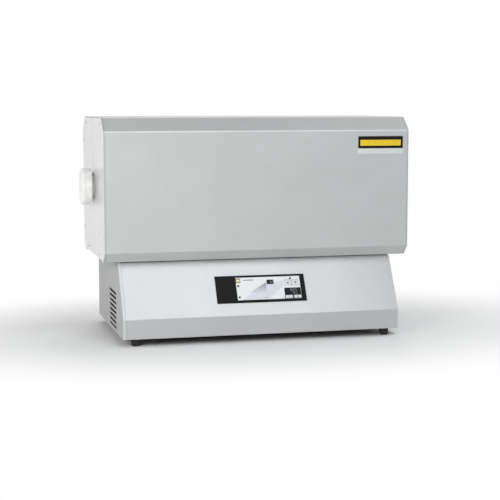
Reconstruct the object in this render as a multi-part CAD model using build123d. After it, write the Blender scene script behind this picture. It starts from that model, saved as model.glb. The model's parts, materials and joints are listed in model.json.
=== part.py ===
from build123d import *
import math
import os

# Bench tube furnace. Lengths are millimetres and angles are degrees.
# X runs along the working tube, Y points to the rear and Z points up.
# The origin lies on the bench, under the middle of the whole furnace.

# Upper housing
HOUSING_LENGTH = 650.0
HOUSING_DEPTH = 320.0
HOUSING_HEIGHT = 294.0
TOP_CHAMFER_DEPTH = 32.0
TOP_CHAMFER_HEIGHT = 28.0
BOTTOM_CHAMFER_DEPTH = 20.0
BOTTOM_CHAMFER_HEIGHT = 20.0
HOUSING_SHEET = 1.5
HOUSING_BEND = 4.0
FLOOR_FLANGE = 30.0
TRAY_SHEET = 1.5
TRAY_EDGE_GAP = 0.5

# End panels of the housing
PANEL_SHEET = 1.5
PANEL_GAP = 0.4
PANEL_SEAM = 0.8
PANEL_HOLE_SPACE = 5.0
END_FRAME_SHEET = 2.0
END_FRAME_WIDTH = 26.0
PANEL_SCREW_INSET = 13.0
TOP_SCREW_INSET = 48.0
BOTTOM_SCREW_INSET = 82.0
SIDE_SCREW_INSET = 51.0

# Rear cover of the housing
REAR_COVER_END_MARGIN = 55.0
REAR_COVER_EDGE_MARGIN = 62.0
REAR_COVER_SHEET = 1.5
REAR_COVER_LAP = 14.0
REAR_VENT_COUNT = 12
REAR_VENT_PITCH = 38.0
REAR_VENT_WIDTH = 5.0
REAR_VENT_HEIGHT = 46.0
REAR_VENT_ROWS = 2
REAR_VENT_ROW_PITCH = 70.0

# Base housing under the furnace
BASE_SIDE_INSET = 30.0
BASE_HEIGHT = 150.0
LIP_HEIGHT = 40.0
LIP_REACH = 32.0
SLOPE_SETBACK = 62.0
BASE_REAR_INSET = 8.0
BASE_SHEET = 1.5
BASE_BEND = 3.0
CORNER_FLANGE = 6.0
FRONT_PANEL_HEM = 15.0
BASE_PANEL_GAP = 0.4
PAN_SHEET = 1.5
PAN_FLANGE = 14.0
SIDE_SLOT_COUNT = 8
SIDE_SLOT_PITCH = 10.2
SIDE_SLOT_LENGTH = 90.0
SIDE_SLOT_HEIGHT = 4.5
SIDE_SLOT_FRONT = 87.0
SIDE_SLOT_LOWEST = 10.0
GASKET_THICKNESS = 2.0
GASKET_WIDTH = 14.0
GASKET_INSET = 6.0

# Rubber feet
FOOT_HEIGHT = 15.0
FOOT_RADIUS = 10.0
FOOT_TAPER = 1.2
FOOT_EDGE = 1.0
FOOT_FRONT_INSET = 14.0
FOOT_REAR_INSET = 24.0
FOOT_SIDE_INSET = 28.0
FOOT_RECESS_RADIUS = 5.0
FOOT_RECESS_DEPTH = 6.0

# Working tube and its end plugs
TUBE_OUTER_RADIUS = 25.0
TUBE_WALL = 5.0
TUBE_OVERHANG = 6.5
TUBE_CLEARANCE = 0.3
PLUG_HEAD_RADIUS = 38.5
PLUG_HEAD_LENGTH = 20.0
PLUG_STEM_LENGTH = 60.0
PLUG_CLEARANCE = 0.3
PLUG_EDGE = 3.0
COLLAR_SHOULDER = 14.0
COLLAR_NECK_CLEARANCE = 0.5

# Heated chamber
CHAMBER_SPACE = 17.0
CHAMBER_END_WALL = 50.0
INSULATION_END_ROOM = 25.0
INSULATION_SIDE_ROOM = 50.0
INSULATION_TOP_ROOM = 43.0
INSULATION_TUBE_GAP = 2.0
LINER_SHEET = 1.0
LINER_GAP = 0.3
LINER_PLATE_SHEET = 1.5
SUPPORT_WIDTH = 44.0
SUPPORT_SHEET = 2.0
SUPPORT_INSET = 150.0
SUPPORT_DEPTH = 180.0
SUPPORT_FOOT = 16.0

# Heating elements, one in each half of the chamber
HEATER_WIRE_RADIUS = 1.5
HEATER_WALL_GAP = 0.3
HEATER_LOOPS = 3
HEATER_FIRST_ANGLE = 15.0
HEATER_END_MARGIN = 14.0
HEATER_TURN_SHARE = 0.45
HEATER_LEAD_RISE = 60.0
HEATER_LEAD_BEND = 3.0
HEATER_LEAD_OVERHANG = 26.0
LEAD_HOLE_RADIUS = 3.2
LEAD_HOLE_OVERRUN = 0.6
LEAD_FIT = 0.1
BUSH_FLANGE_RADIUS = 7.5
BUSH_FLANGE_LENGTH = 8.0
BUSH_NECK_RADIUS = 4.5
BUSH_CLEARANCE = 0.3
CONNECTOR_RADIUS = 5.0
CONNECTOR_LENGTH = 12.0
THERMOCOUPLE_RADIUS = 3.0
THERMOCOUPLE_TIP_GAP = 5.0
THERMOCOUPLE_TIP_SHARE = 0.8
THERMOCOUPLE_HEAD_RADIUS = 12.0
THERMOCOUPLE_HEAD_LENGTH = 18.0
THERMOCOUPLE_HEAD_EDGE = 2.0

# Controller on the sloping front, with places measured from its right edge and middle line
CONTROLLER_WIDTH = 192.0
CONTROLLER_HEIGHT = 60.0
CONTROLLER_RISE = 50.4
BEZEL_THICKNESS = 3.0
BEZEL_EDGE = 1.0
CONTROLLER_LAP = 4.0
CONTROLLER_DEPTH = 48.0
FOIL_WIDTH = 138.0
FOIL_HEIGHT = 50.0
FOIL_MARGIN = 10.5
FOIL_THICKNESS = 0.8
FOIL_GAP = 0.2
DISPLAY_SIZE = (35.0, 18.0)
DISPLAY_PLACE = (-28.7, -7.6)
WINDOW_SIZE = (14.0, 9.0)
WINDOW_PLACE = (-75.0, 13.5)
LAMP_SIZE = (8.6, 8.6)
LAMP_PLACE = (-143.6, 18.4)
LENS_RADIUS = 1.3
LENS_PLACES = ((-144.4, 6.4), (-144.2, -18.6), (-31.0, 20.2))
KEY_PLACES = {
    "key_up": (-36.7, 10.4),
    "key_down": (-20.6, 10.4),
    "key_enter": (-37.8, -20.8),
    "key_page": (-19.2, -20.8),
}
UPPER_KEY_SIZE = (13.0, 9.0)
LOWER_KEY_SIZE = (15.0, 6.0)
KEY_THICKNESS = 1.4
KEY_PROUD = 0.2
KEY_TRAVEL = 0.5
KEY_GAP = 0.3
KEY_CORNER_RADIUS = 1.2

# Mains inlet, switch and fuses in the rear of the base
REAR_FITTING_HEIGHT = 52.0
INLET_END_INSET = 80.0
INLET_CAVITY = (31.0, 20.0)
INLET_WALL = 2.0
INLET_DEPTH = 20.0
INLET_FLANGE = (50.0, 30.0)
INLET_FLANGE_THICKNESS = 3.0
INLET_EDGE = 1.0
INLET_CORNER_RADIUS = 2.0
PIN_SIZE = (2.0, 5.0)
PIN_LENGTH = 17.0
PIN_SPACING = 12.0
PIN_RISE = 2.5
PIN_EDGE = 0.5
SWITCH_SPACING = 65.0
SWITCH_OPENING = (18.6, 25.6)
SWITCH_WALL = 2.0
SWITCH_FLANGE_LAP = 3.0
SWITCH_FLANGE_THICKNESS = 1.5
SWITCH_DEPTH = 16.0
SWITCH_EDGE = 0.8
ROCKER_GAP = 0.3
ROCKER_END_GAP = 0.4
ROCKER_CROWN = 3.6
ROCKER_DIP = 1.4
ROCKER_SKIRT_WIDTH_SHARE = 0.7
ROCKER_SKIRT_DEPTH_SHARE = 0.6
ROCKER_REST_TILT = 8.0
ROCKER_STUB_RADIUS = 1.5
ROCKER_STUB_CLEARANCE = 0.05
FUSE_FIRST_SPACING = 44.0
FUSE_SPACING = 28.0
FUSE_RADIUS = 8.0
FUSE_HEAD_LENGTH = 6.0
FUSE_BODY_RADIUS = 6.0
FUSE_BODY_LENGTH = 24.0
FUSE_CAP_EDGE = 1.0
FUSE_SLOT = (9.6, 1.5, 1.6)

# Electrical parts on the floor of the base
RELAY_SIZE = (58.0, 45.0, 23.0)
RELAY_END_INSET = 125.0
RELAY_Y = 60.0
RELAY_NOTCH = (11.6, 15.0, 11.5)
SINK_SIZE = (110.0, 90.0, 34.0)
SINK_FLOOR = 8.0
SINK_FIN_COUNT = 10
SINK_FIN_SHEET = 2.4
TERMINAL_SIZE = (90.0, 28.0, 22.0)
TERMINAL_END_INSET = 135.0
TERMINAL_Y = 20.0
TERMINAL_WAYS = 6
TERMINAL_WELL_RADIUS = 4.5
TERMINAL_WELL_DEPTH = 8.8
TERMINAL_ENTRY_RADIUS = 3.3
TERMINAL_ENTRY_HEIGHT = 6.6
CONTACTOR_SIZE = (45.0, 60.0, 52.0)
CONTACTOR_PLACE = (40.0, 60.0)
CONTACTOR_STEP_HEIGHT = 36.4
CONTACTOR_RIDGE_DEPTH = 36.0
CONTACTOR_WAYS = 3
CONTACTOR_WELL_RADIUS = 4.0
CONTACTOR_WELL_DEPTH = 7.0
GROMMET_END_INSET = 110.0
GROMMET_REAR_INSET = 96.0
GROMMET_HOLE_RADIUS = 14.0
GROMMET_LIP = 3.0
CABLE_RADIUS = 6.0
CABLE_CLEARANCE = 0.3
CABLE_BEND = 18.0
CABLE_TRAY_RISE = 22.0
CABLE_REAR_GAP = 4.0
WIRE_RADIUS = 1.0
WIRE_BEND = 4.0
WIRE_SPACING = 2.4

# Plain plate on the front of the housing
PLATE_LENGTH = 100.0
PLATE_HEIGHT = 37.5
PLATE_THICKNESS = 0.8
PLATE_SIDE_MARGIN = 13.0
PLATE_TOP_MARGIN = 12.0

# Fasteners
SCREW_RADIUS = 2.0
SCREW_HEAD_RADIUS = 3.8
SCREW_HEAD_HEIGHT = 2.2
SCREW_RIM_HEIGHT = 1.0
SCREW_CROWN_RADIUS = 2.3
SCREW_CLEARANCE = 0.25
SCREW_LENGTH = 8.0
FLUSH_HEAD_HEIGHT = 1.4

# Margin by which a cutting tool runs past a face
CUT_MARGIN = 5.0

# Places worked out from the sizes above
FRONT_Y = -(HOUSING_DEPTH + LIP_REACH) / 2
HOUSING_FRONT = FRONT_Y + LIP_REACH
AXIS_Y = HOUSING_FRONT + HOUSING_DEPTH / 2
HOUSING_REAR = AXIS_Y + HOUSING_DEPTH / 2
BASE_WIDTH = HOUSING_LENGTH - 2 * BASE_SIDE_INSET
BASE_REAR = HOUSING_REAR - BASE_REAR_INSET
BASE_TOP = FOOT_HEIGHT + BASE_HEIGHT
HOUSING_BOTTOM = BASE_TOP + GASKET_THICKNESS
HOUSING_TOP = HOUSING_BOTTOM + HOUSING_HEIGHT
AXIS_Z = HOUSING_BOTTOM + HOUSING_HEIGHT / 2
TUBE_HALF = HOUSING_LENGTH / 2 + TUBE_OVERHANG
TUBE_INNER_RADIUS = TUBE_OUTER_RADIUS - TUBE_WALL
PANEL_HOLE_RADIUS = TUBE_OUTER_RADIUS + PANEL_HOLE_SPACE
COLLAR_RADIUS = PANEL_HOLE_RADIUS + COLLAR_SHOULDER
REAR_COVER_LENGTH = HOUSING_LENGTH - 2 * REAR_COVER_END_MARGIN
REAR_COVER_HEIGHT = HOUSING_HEIGHT - 2 * REAR_COVER_EDGE_MARGIN
INSULATION_LENGTH = HOUSING_LENGTH - 2 * INSULATION_END_ROOM
INSULATION_DEPTH = HOUSING_DEPTH - 2 * INSULATION_SIDE_ROOM
INSULATION_HEIGHT = HOUSING_HEIGHT - 2 * INSULATION_TOP_ROOM
CHAMBER_RADIUS = TUBE_OUTER_RADIUS + CHAMBER_SPACE
CHAMBER_LENGTH = INSULATION_LENGTH - 2 * CHAMBER_END_WALL
PANEL_BACK = HOUSING_LENGTH / 2 - PANEL_SHEET
FRAME_BACK = PANEL_BACK - END_FRAME_SHEET
TRAY_TOP = HOUSING_BOTTOM + HOUSING_SHEET + TRAY_SHEET
PAN_TOP = FOOT_HEIGHT + PAN_SHEET
LINER_HALF_DEPTH = INSULATION_DEPTH / 2 + LINER_GAP + LINER_SHEET
LINER_HALF_HEIGHT = INSULATION_HEIGHT / 2 + LINER_GAP + LINER_SHEET
LINER_BACK = AXIS_Y + LINER_HALF_DEPTH
HEATER_CIRCLE = CHAMBER_RADIUS - HEATER_WIRE_RADIUS - HEATER_WALL_GAP
HEATER_REACH = CHAMBER_LENGTH / 2 - HEATER_END_MARGIN
HEATER_RUNS = 2 * HEATER_LOOPS
LEAD_X = -(HEATER_REACH + HEATER_END_MARGIN / 2)
LEAD_END_Y = LINER_BACK + HEATER_LEAD_OVERHANG
FITTING_Z = FOOT_HEIGHT + REAR_FITTING_HEIGHT
INLET_X = -BASE_WIDTH / 2 + INLET_END_INSET
SWITCH_X = INLET_X + SWITCH_SPACING
FUSE_XS = (SWITCH_X + FUSE_FIRST_SPACING, SWITCH_X + FUSE_FIRST_SPACING + FUSE_SPACING)
ROCKER_REACH = SWITCH_OPENING[1] / 2 - ROCKER_END_GAP
RELAY_PLACE = (BASE_WIDTH / 2 - RELAY_END_INSET, RELAY_Y)
TERMINAL_PLACE = (-BASE_WIDTH / 2 + TERMINAL_END_INSET, TERMINAL_Y)
GROMMET_X = -HOUSING_LENGTH / 2 + GROMMET_END_INSET
GROMMET_Y = HOUSING_REAR - GROMMET_REAR_INSET
FOIL_OFFSET = CONTROLLER_WIDTH / 2 - FOIL_MARGIN - FOIL_WIDTH / 2
SLOPE_ANGLE = math.degrees(math.atan2(SLOPE_SETBACK, BASE_HEIGHT - LIP_HEIGHT))


def along_x(sketch, length, centre=0.0):
    """Extrude a side-view sketch along X, half to each side of a centre."""
    return extrude(Plane.YZ.offset(centre - length / 2) * sketch, amount=length)


def rod_x(radius, start, end, y=None, z=None):
    """Cylinder along X, on the tube's axis unless another line is given."""
    y = AXIS_Y if y is None else y
    z = AXIS_Z if z is None else z
    middle = (start + end) / 2
    return Pos(middle, y, z) * Rot(0, 90, 0) * Cylinder(radius, abs(end - start))


def rod_y(radius, x, start, end, z):
    """Cylinder along Y between two places."""
    return Pos(x, (start + end) / 2, z) * Rot(90, 0, 0) * Cylinder(radius, abs(end - start))


def rod_z(radius, x, y, start, end):
    """Cylinder along Z between two heights."""
    return Pos(x, y, (start + end) / 2) * Cylinder(radius, abs(end - start))


def block(low, high):
    """Box between its lowest and its highest corner."""
    size = [b - a for a, b in zip(low, high)]
    middle = [(a + b) / 2 for a, b in zip(low, high)]
    return Pos(*middle) * Box(*size)


def group(pieces):
    """Separate solids kept together as one named piece."""
    return Compound(children=list(pieces))


def housing_outline(inset=0.0):
    """Side view of the housing: an upright rectangle with four flat chamfers."""
    outline = Polygon(
        (HOUSING_FRONT, HOUSING_BOTTOM + BOTTOM_CHAMFER_HEIGHT),
        (HOUSING_FRONT + BOTTOM_CHAMFER_DEPTH, HOUSING_BOTTOM),
        (HOUSING_REAR - BOTTOM_CHAMFER_DEPTH, HOUSING_BOTTOM),
        (HOUSING_REAR, HOUSING_BOTTOM + BOTTOM_CHAMFER_HEIGHT),
        (HOUSING_REAR, HOUSING_TOP - TOP_CHAMFER_HEIGHT),
        (HOUSING_REAR - TOP_CHAMFER_DEPTH, HOUSING_TOP),
        (HOUSING_FRONT + TOP_CHAMFER_DEPTH, HOUSING_TOP),
        (HOUSING_FRONT, HOUSING_TOP - TOP_CHAMFER_HEIGHT),
        align=None,
    )
    outline = fillet(outline.vertices(), HOUSING_BEND)
    if inset:
        outline = offset(outline, amount=-inset)
    return outline


def rear_cover_screw_places():
    """Places of the rear cover's flush screws, as X and Z."""
    reach = REAR_COVER_LENGTH / 2 + REAR_COVER_LAP / 2
    rise = REAR_COVER_HEIGHT / 2 + REAR_COVER_LAP / 2
    places = [(x, AXIS_Z + z) for x in (-reach, reach) for z in (-rise, rise)]
    places += [(0.0, AXIS_Z - rise), (0.0, AXIS_Z + rise)]
    return places


def housing_wrap():
    """Outer skin of the housing, folded from one sheet, with its floor and rear cut open."""
    wrap = along_x(housing_outline() - housing_outline(HOUSING_SHEET), HOUSING_LENGTH)
    floor_front = HOUSING_FRONT + BOTTOM_CHAMFER_DEPTH + FLOOR_FLANGE
    floor_rear = HOUSING_REAR - BOTTOM_CHAMFER_DEPTH - FLOOR_FLANGE
    wrap -= block(
        (-HOUSING_LENGTH / 2 - CUT_MARGIN, floor_front, HOUSING_BOTTOM - CUT_MARGIN),
        (HOUSING_LENGTH / 2 + CUT_MARGIN, floor_rear, HOUSING_BOTTOM + CUT_MARGIN),
    )
    wrap -= block(
        (-REAR_COVER_LENGTH / 2, HOUSING_REAR - CUT_MARGIN, AXIS_Z - REAR_COVER_HEIGHT / 2),
        (REAR_COVER_LENGTH / 2, HOUSING_REAR + CUT_MARGIN, AXIS_Z + REAR_COVER_HEIGHT / 2),
    )
    for x, z in rear_cover_screw_places():
        wrap -= rod_y(
            SCREW_HEAD_RADIUS + SCREW_CLEARANCE,
            x,
            HOUSING_REAR - CUT_MARGIN,
            HOUSING_REAR + CUT_MARGIN,
            z,
        )
    return wrap


def housing_tray():
    """Floor sheet that lies on the inward flanges of the wrap."""
    reach = FRAME_BACK - PANEL_GAP
    edge = BOTTOM_CHAMFER_DEPTH + HOUSING_BEND / 2 + TRAY_EDGE_GAP
    front = HOUSING_FRONT + edge
    rear = HOUSING_REAR - edge
    tray = block((-reach, front, TRAY_TOP - TRAY_SHEET), (reach, rear, TRAY_TOP))
    hole_radius = GROMMET_HOLE_RADIUS + SCREW_CLEARANCE
    return tray - rod_z(
        hole_radius, GROMMET_X, GROMMET_Y, TRAY_TOP - CUT_MARGIN, TRAY_TOP + CUT_MARGIN
    )


def panel_screw_places():
    """Places of the screws in one end, as Y and Z, four to each half panel."""
    places = []
    for side in (-1, 1):
        edge = AXIS_Y + side * (HOUSING_DEPTH / 2 - PANEL_SCREW_INSET)
        top_y = AXIS_Y + side * (HOUSING_DEPTH / 2 - TOP_SCREW_INSET)
        bottom_y = AXIS_Y + side * (HOUSING_DEPTH / 2 - BOTTOM_SCREW_INSET)
        places.append((top_y, HOUSING_TOP - PANEL_SCREW_INSET))
        places.append((edge, HOUSING_TOP - SIDE_SCREW_INSET))
        places.append((edge, HOUSING_BOTTOM + SIDE_SCREW_INSET))
        places.append((bottom_y, HOUSING_BOTTOM + PANEL_SCREW_INSET))
    return places


def panel_screw_holes(side):
    """Clearance holes for the screws in one end of the housing."""
    start = side * (FRAME_BACK - CUT_MARGIN)
    end = side * (HOUSING_LENGTH / 2 + CUT_MARGIN)
    radius = SCREW_RADIUS + SCREW_CLEARANCE
    return [rod_x(radius, start, end, y, z) for y, z in panel_screw_places()]


def end_panel(side, half):
    """Half of the flat plate that closes one end of the housing."""
    outline = housing_outline(HOUSING_SHEET + PANEL_GAP)
    panel = along_x(outline, PANEL_SHEET, side * (HOUSING_LENGTH / 2 - PANEL_SHEET / 2))
    panel -= rod_x(PANEL_HOLE_RADIUS, side * FRAME_BACK, side * (TUBE_HALF + CUT_MARGIN))
    for hole in panel_screw_holes(side):
        panel -= hole
    seam = AXIS_Y + half * PANEL_SEAM / 2
    far = AXIS_Y + half * HOUSING_DEPTH
    return panel & block(
        (-HOUSING_LENGTH, min(seam, far), 0), (HOUSING_LENGTH, max(seam, far), 2 * HOUSING_TOP)
    )


def end_frame(side):
    """Ring of thicker sheet behind the end panels, which takes their screws."""
    ring = housing_outline(HOUSING_SHEET + PANEL_GAP)
    ring -= housing_outline(HOUSING_SHEET + PANEL_GAP + END_FRAME_WIDTH)
    frame = along_x(ring, END_FRAME_SHEET, side * (PANEL_BACK - END_FRAME_SHEET / 2))
    for hole in panel_screw_holes(side):
        frame -= hole
    return frame


def round_screw():
    """Low round-headed screw with its head above the origin and its shank below."""
    profile = Polygon(
        (0, -SCREW_LENGTH),
        (SCREW_RADIUS, -SCREW_LENGTH),
        (SCREW_RADIUS, 0),
        (SCREW_HEAD_RADIUS, 0),
        (SCREW_HEAD_RADIUS, SCREW_RIM_HEIGHT),
        (SCREW_CROWN_RADIUS, SCREW_HEAD_HEIGHT),
        (0, SCREW_HEAD_HEIGHT),
        align=None,
    )
    return revolve(Plane.XZ * profile, Axis.Z)


def flush_screw():
    """Countersunk screw whose head ends at the origin."""
    profile = Polygon(
        (0, -SCREW_LENGTH),
        (SCREW_RADIUS, -SCREW_LENGTH),
        (SCREW_RADIUS, -FLUSH_HEAD_HEIGHT),
        (SCREW_HEAD_RADIUS, 0),
        (0, 0),
        align=None,
    )
    return revolve(Plane.XZ * profile, Axis.Z)


def end_panel_screws():
    """All the round-headed screws in both ends of the housing."""
    screws = []
    for side in (-1, 1):
        for y, z in panel_screw_places():
            place = Pos(side * HOUSING_LENGTH / 2, y, z) * Rot(0, side * 90, 0)
            screws.append(place * round_screw())
    return group(screws)


def rear_cover():
    """Vented access panel that fills the opening in the rear and laps behind its edge."""
    length = REAR_COVER_LENGTH - 2 * PANEL_GAP
    height = REAR_COVER_HEIGHT - 2 * PANEL_GAP
    inner = HOUSING_REAR - HOUSING_SHEET
    face = block(
        (-length / 2, inner, AXIS_Z - height / 2),
        (length / 2, HOUSING_REAR, AXIS_Z + height / 2),
    )
    lap_length = REAR_COVER_LENGTH / 2 + REAR_COVER_LAP
    lap_height = REAR_COVER_HEIGHT / 2 + REAR_COVER_LAP
    lap = block(
        (-lap_length, inner - REAR_COVER_SHEET, AXIS_Z - lap_height),
        (lap_length, inner, AXIS_Z + lap_height),
    )
    cover = face + lap
    slot = Plane.XZ * SlotOverall(REAR_VENT_HEIGHT, REAR_VENT_WIDTH, rotation=90)
    cutter = extrude(slot, amount=CUT_MARGIN, both=True)
    for row in range(REAR_VENT_ROWS):
        z = AXIS_Z + (row - (REAR_VENT_ROWS - 1) / 2) * REAR_VENT_ROW_PITCH
        for column in range(REAR_VENT_COUNT):
            x = (column - (REAR_VENT_COUNT - 1) / 2) * REAR_VENT_PITCH
            cover -= Pos(x, inner, z) * cutter
    for x, z in rear_cover_screw_places():
        cover -= rod_y(
            SCREW_RADIUS + SCREW_CLEARANCE, x, inner - CUT_MARGIN, HOUSING_REAR, z
        )
    return cover


def rear_cover_screws():
    """Countersunk screws that hold the rear cover, flush with the wrap."""
    place = Rot(-90, 0, 0) * flush_screw()
    return group(Pos(x, HOUSING_REAR, z) * place for x, z in rear_cover_screw_places())


def chamber_block():
    """Whole insulation block, with the chamber's bore and the narrower tube passages."""
    half_length = INSULATION_LENGTH / 2
    body = block(
        (-half_length, AXIS_Y - INSULATION_DEPTH / 2, AXIS_Z - INSULATION_HEIGHT / 2),
        (half_length, AXIS_Y + INSULATION_DEPTH / 2, AXIS_Z + INSULATION_HEIGHT / 2),
    )
    body -= rod_x(CHAMBER_RADIUS, -CHAMBER_LENGTH / 2, CHAMBER_LENGTH / 2)
    body -= rod_x(
        TUBE_OUTER_RADIUS + INSULATION_TUBE_GAP,
        -half_length - CUT_MARGIN,
        half_length + CUT_MARGIN,
    )
    return body - rod_y(
        THERMOCOUPLE_RADIUS + BUSH_CLEARANCE, 0, AXIS_Y, LINER_BACK + CUT_MARGIN, AXIS_Z
    )


def insulation_half(side):
    """Upper or lower fibre block, with channels for its element's leads."""
    half = chamber_block() & block(
        (-INSULATION_LENGTH, AXIS_Y - INSULATION_DEPTH, min(AXIS_Z, side * HOUSING_TOP * 2)),
        (INSULATION_LENGTH, AXIS_Y + INSULATION_DEPTH, max(AXIS_Z, side * HOUSING_TOP * 2)),
    )
    path = heater_path(side)
    near, rise, far = path[0], path[-2], path[-1]
    reach = LEAD_HOLE_RADIUS + LEAD_HOLE_OVERRUN
    channel = rod_z(LEAD_HOLE_RADIUS, LEAD_X, rise[1], AXIS_Z + side, rise[2] + side * reach)
    channel += rod_y(LEAD_HOLE_RADIUS, LEAD_X, rise[1] - reach, far[1], far[2])
    half -= rod_y(LEAD_HOLE_RADIUS, LEAD_X, AXIS_Y, near[1], near[2])
    return half - channel


def heater_path(side):
    """Corners of one element: a lead in, runs to and fro round the bore, and a lead out."""
    step = (180.0 - 2 * HEATER_FIRST_ANGLE) / (HEATER_RUNS - 1)
    ring = []
    for run in range(HEATER_RUNS):
        angle = math.radians(HEATER_FIRST_ANGLE + run * step)
        y = AXIS_Y + HEATER_CIRCLE * math.cos(angle)
        z = AXIS_Z + side * HEATER_CIRCLE * math.sin(angle)
        ring.append((y, z))
    first_y, first_z = ring[0]
    last_y, last_z = ring[-1]
    lead_z = AXIS_Z + side * HEATER_LEAD_RISE
    corners = [(LEAD_X, LEAD_END_Y, first_z), (LEAD_X, first_y, first_z)]
    for run, (y, z) in enumerate(ring):
        outward = run % 2 == 0
        start_x = -HEATER_REACH if outward else HEATER_REACH
        if run > 0:
            corners.append((start_x, y, z))
        if run < HEATER_RUNS - 1:
            corners.append((-start_x, y, z))
    corners.append((LEAD_X, last_y, last_z))
    corners.append((LEAD_X, last_y, lead_z))
    corners.append((LEAD_X, LEAD_END_Y, lead_z))
    return corners


def swept_round(corners, radius, bend):
    """Round bar or cable along straight runs with rounded corners."""
    path = FilletPolyline(*corners, radius=bend)
    section = Plane(origin=path @ 0, z_dir=path % 0) * Circle(radius)
    return sweep(section, path=path)


def heater(side):
    """Resistance wire bent to and fro along the wall of one half of the chamber."""
    corners = heater_path(side)
    chord = math.dist(corners[2], corners[3])
    turn = HEATER_TURN_SHARE * chord
    radii = [HEATER_LEAD_BEND] + [turn] * (len(corners) - 5) + [HEATER_LEAD_BEND] * 2
    return swept_round(corners, HEATER_WIRE_RADIUS, radii)


def lead_places():
    """Height of each element lead at the rear of the liner."""
    heights = []
    for side in (-1, 1):
        path = heater_path(side)
        heights += [path[0][2], path[-1][2]]
    return heights


def inner_liner():
    """Inner sheet shell that holds the two fibre blocks together."""
    outer = Pos(AXIS_Y, AXIS_Z) * Rectangle(2 * LINER_HALF_DEPTH, 2 * LINER_HALF_HEIGHT)
    inner = Pos(AXIS_Y, AXIS_Z) * Rectangle(
        2 * (LINER_HALF_DEPTH - LINER_SHEET), 2 * (LINER_HALF_HEIGHT - LINER_SHEET)
    )
    liner = along_x(outer - inner, INSULATION_LENGTH)
    for z in lead_places():
        liner -= rod_y(
            BUSH_NECK_RADIUS + BUSH_CLEARANCE, LEAD_X, LINER_BACK - CUT_MARGIN, LEAD_END_Y, z
        )
    return liner - rod_y(
        THERMOCOUPLE_RADIUS + BUSH_CLEARANCE, 0, LINER_BACK - CUT_MARGIN, LEAD_END_Y, AXIS_Z
    )


def liner_end_plates():
    """Plates that close the ends of the liner round the tube collars."""
    outline = Pos(AXIS_Y, AXIS_Z) * Rectangle(2 * LINER_HALF_DEPTH, 2 * LINER_HALF_HEIGHT)
    plates = []
    for side in (-1, 1):
        middle = side * (INSULATION_LENGTH + LINER_PLATE_SHEET) / 2
        plate = along_x(outline, LINER_PLATE_SHEET, middle)
        plates.append(
            plate
            - rod_x(COLLAR_RADIUS + BUSH_CLEARANCE, middle - CUT_MARGIN, middle + CUT_MARGIN)
        )
    return group(plates)


def liner_support(x):
    """Folded channel with two feet, which carries the liner above the tray."""
    top = AXIS_Z - LINER_HALF_HEIGHT
    front, rear = AXIS_Y - SUPPORT_DEPTH / 2, AXIS_Y + SUPPORT_DEPTH / 2
    half = SUPPORT_WIDTH / 2
    body = block((x - half, front, TRAY_TOP), (x + half, rear, top))
    body -= block(
        (x - half + SUPPORT_SHEET, front - CUT_MARGIN, TRAY_TOP - CUT_MARGIN),
        (x + half - SUPPORT_SHEET, rear + CUT_MARGIN, top - SUPPORT_SHEET),
    )
    for side in (-1, 1):
        inner, outer = sorted((x + side * (half - SUPPORT_SHEET), x + side * (half + SUPPORT_FOOT)))
        body += block((inner, front, TRAY_TOP), (outer, rear, TRAY_TOP + SUPPORT_SHEET))
    return body


def liner_supports():
    """The two channels under the liner."""
    reach = INSULATION_LENGTH / 2 - SUPPORT_INSET
    return group(liner_support(side * reach) for side in (-1, 1))


def heater_bushes():
    """Ceramic bushes that carry the element leads through the liner."""
    bushes = []
    for z in lead_places():
        neck_start = LINER_BACK - LINER_SHEET - LINER_GAP
        bush = rod_y(BUSH_NECK_RADIUS, LEAD_X, neck_start, LINER_BACK, z)
        bush += rod_y(
            BUSH_FLANGE_RADIUS, LEAD_X, LINER_BACK, LINER_BACK + BUSH_FLANGE_LENGTH, z
        )
        bush -= rod_y(
            HEATER_WIRE_RADIUS + BUSH_CLEARANCE, LEAD_X, neck_start - CUT_MARGIN, LEAD_END_Y, z
        )
        bushes.append(bush)
    return group(bushes)


def heater_connectors():
    """Brass connectors clamped on the ends of the element leads."""
    connectors = []
    for z in lead_places():
        start = LEAD_END_Y - CONNECTOR_LENGTH
        connector = rod_y(CONNECTOR_RADIUS, LEAD_X, start, LEAD_END_Y + SCREW_RADIUS, z)
        connector -= rod_y(
            HEATER_WIRE_RADIUS + LEAD_FIT,
            LEAD_X,
            start - CUT_MARGIN,
            LEAD_END_Y + LEAD_FIT,
            z,
        )
        connectors.append(connector)
    return group(connectors)


def thermocouple_sheath():
    """Ceramic sheath from the rear of the liner to just short of the working tube."""
    tip = AXIS_Y + TUBE_OUTER_RADIUS + THERMOCOUPLE_TIP_GAP
    end = LINER_BACK + THERMOCOUPLE_HEAD_LENGTH / 2
    rod = rod_y(THERMOCOUPLE_RADIUS, 0, tip, end, AXIS_Z)
    tip_edges = rod.edges().filter_by(GeomType.CIRCLE).sort_by(Axis.Y)[0]
    return fillet(tip_edges, THERMOCOUPLE_RADIUS * THERMOCOUPLE_TIP_SHARE)


def thermocouple_head():
    """Connection head of the thermocouple, screwed to the rear of the liner."""
    end = LINER_BACK + THERMOCOUPLE_HEAD_LENGTH
    head = rod_y(THERMOCOUPLE_HEAD_RADIUS, 0, LINER_BACK, end, AXIS_Z)
    head = chamfer(head.edges().sort_by(Axis.Y)[-1], THERMOCOUPLE_HEAD_EDGE)
    return head - rod_y(
        THERMOCOUPLE_RADIUS + LEAD_FIT,
        0,
        LINER_BACK - CUT_MARGIN,
        LINER_BACK + THERMOCOUPLE_HEAD_LENGTH / 2 + LEAD_FIT,
        AXIS_Z,
    )


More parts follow.
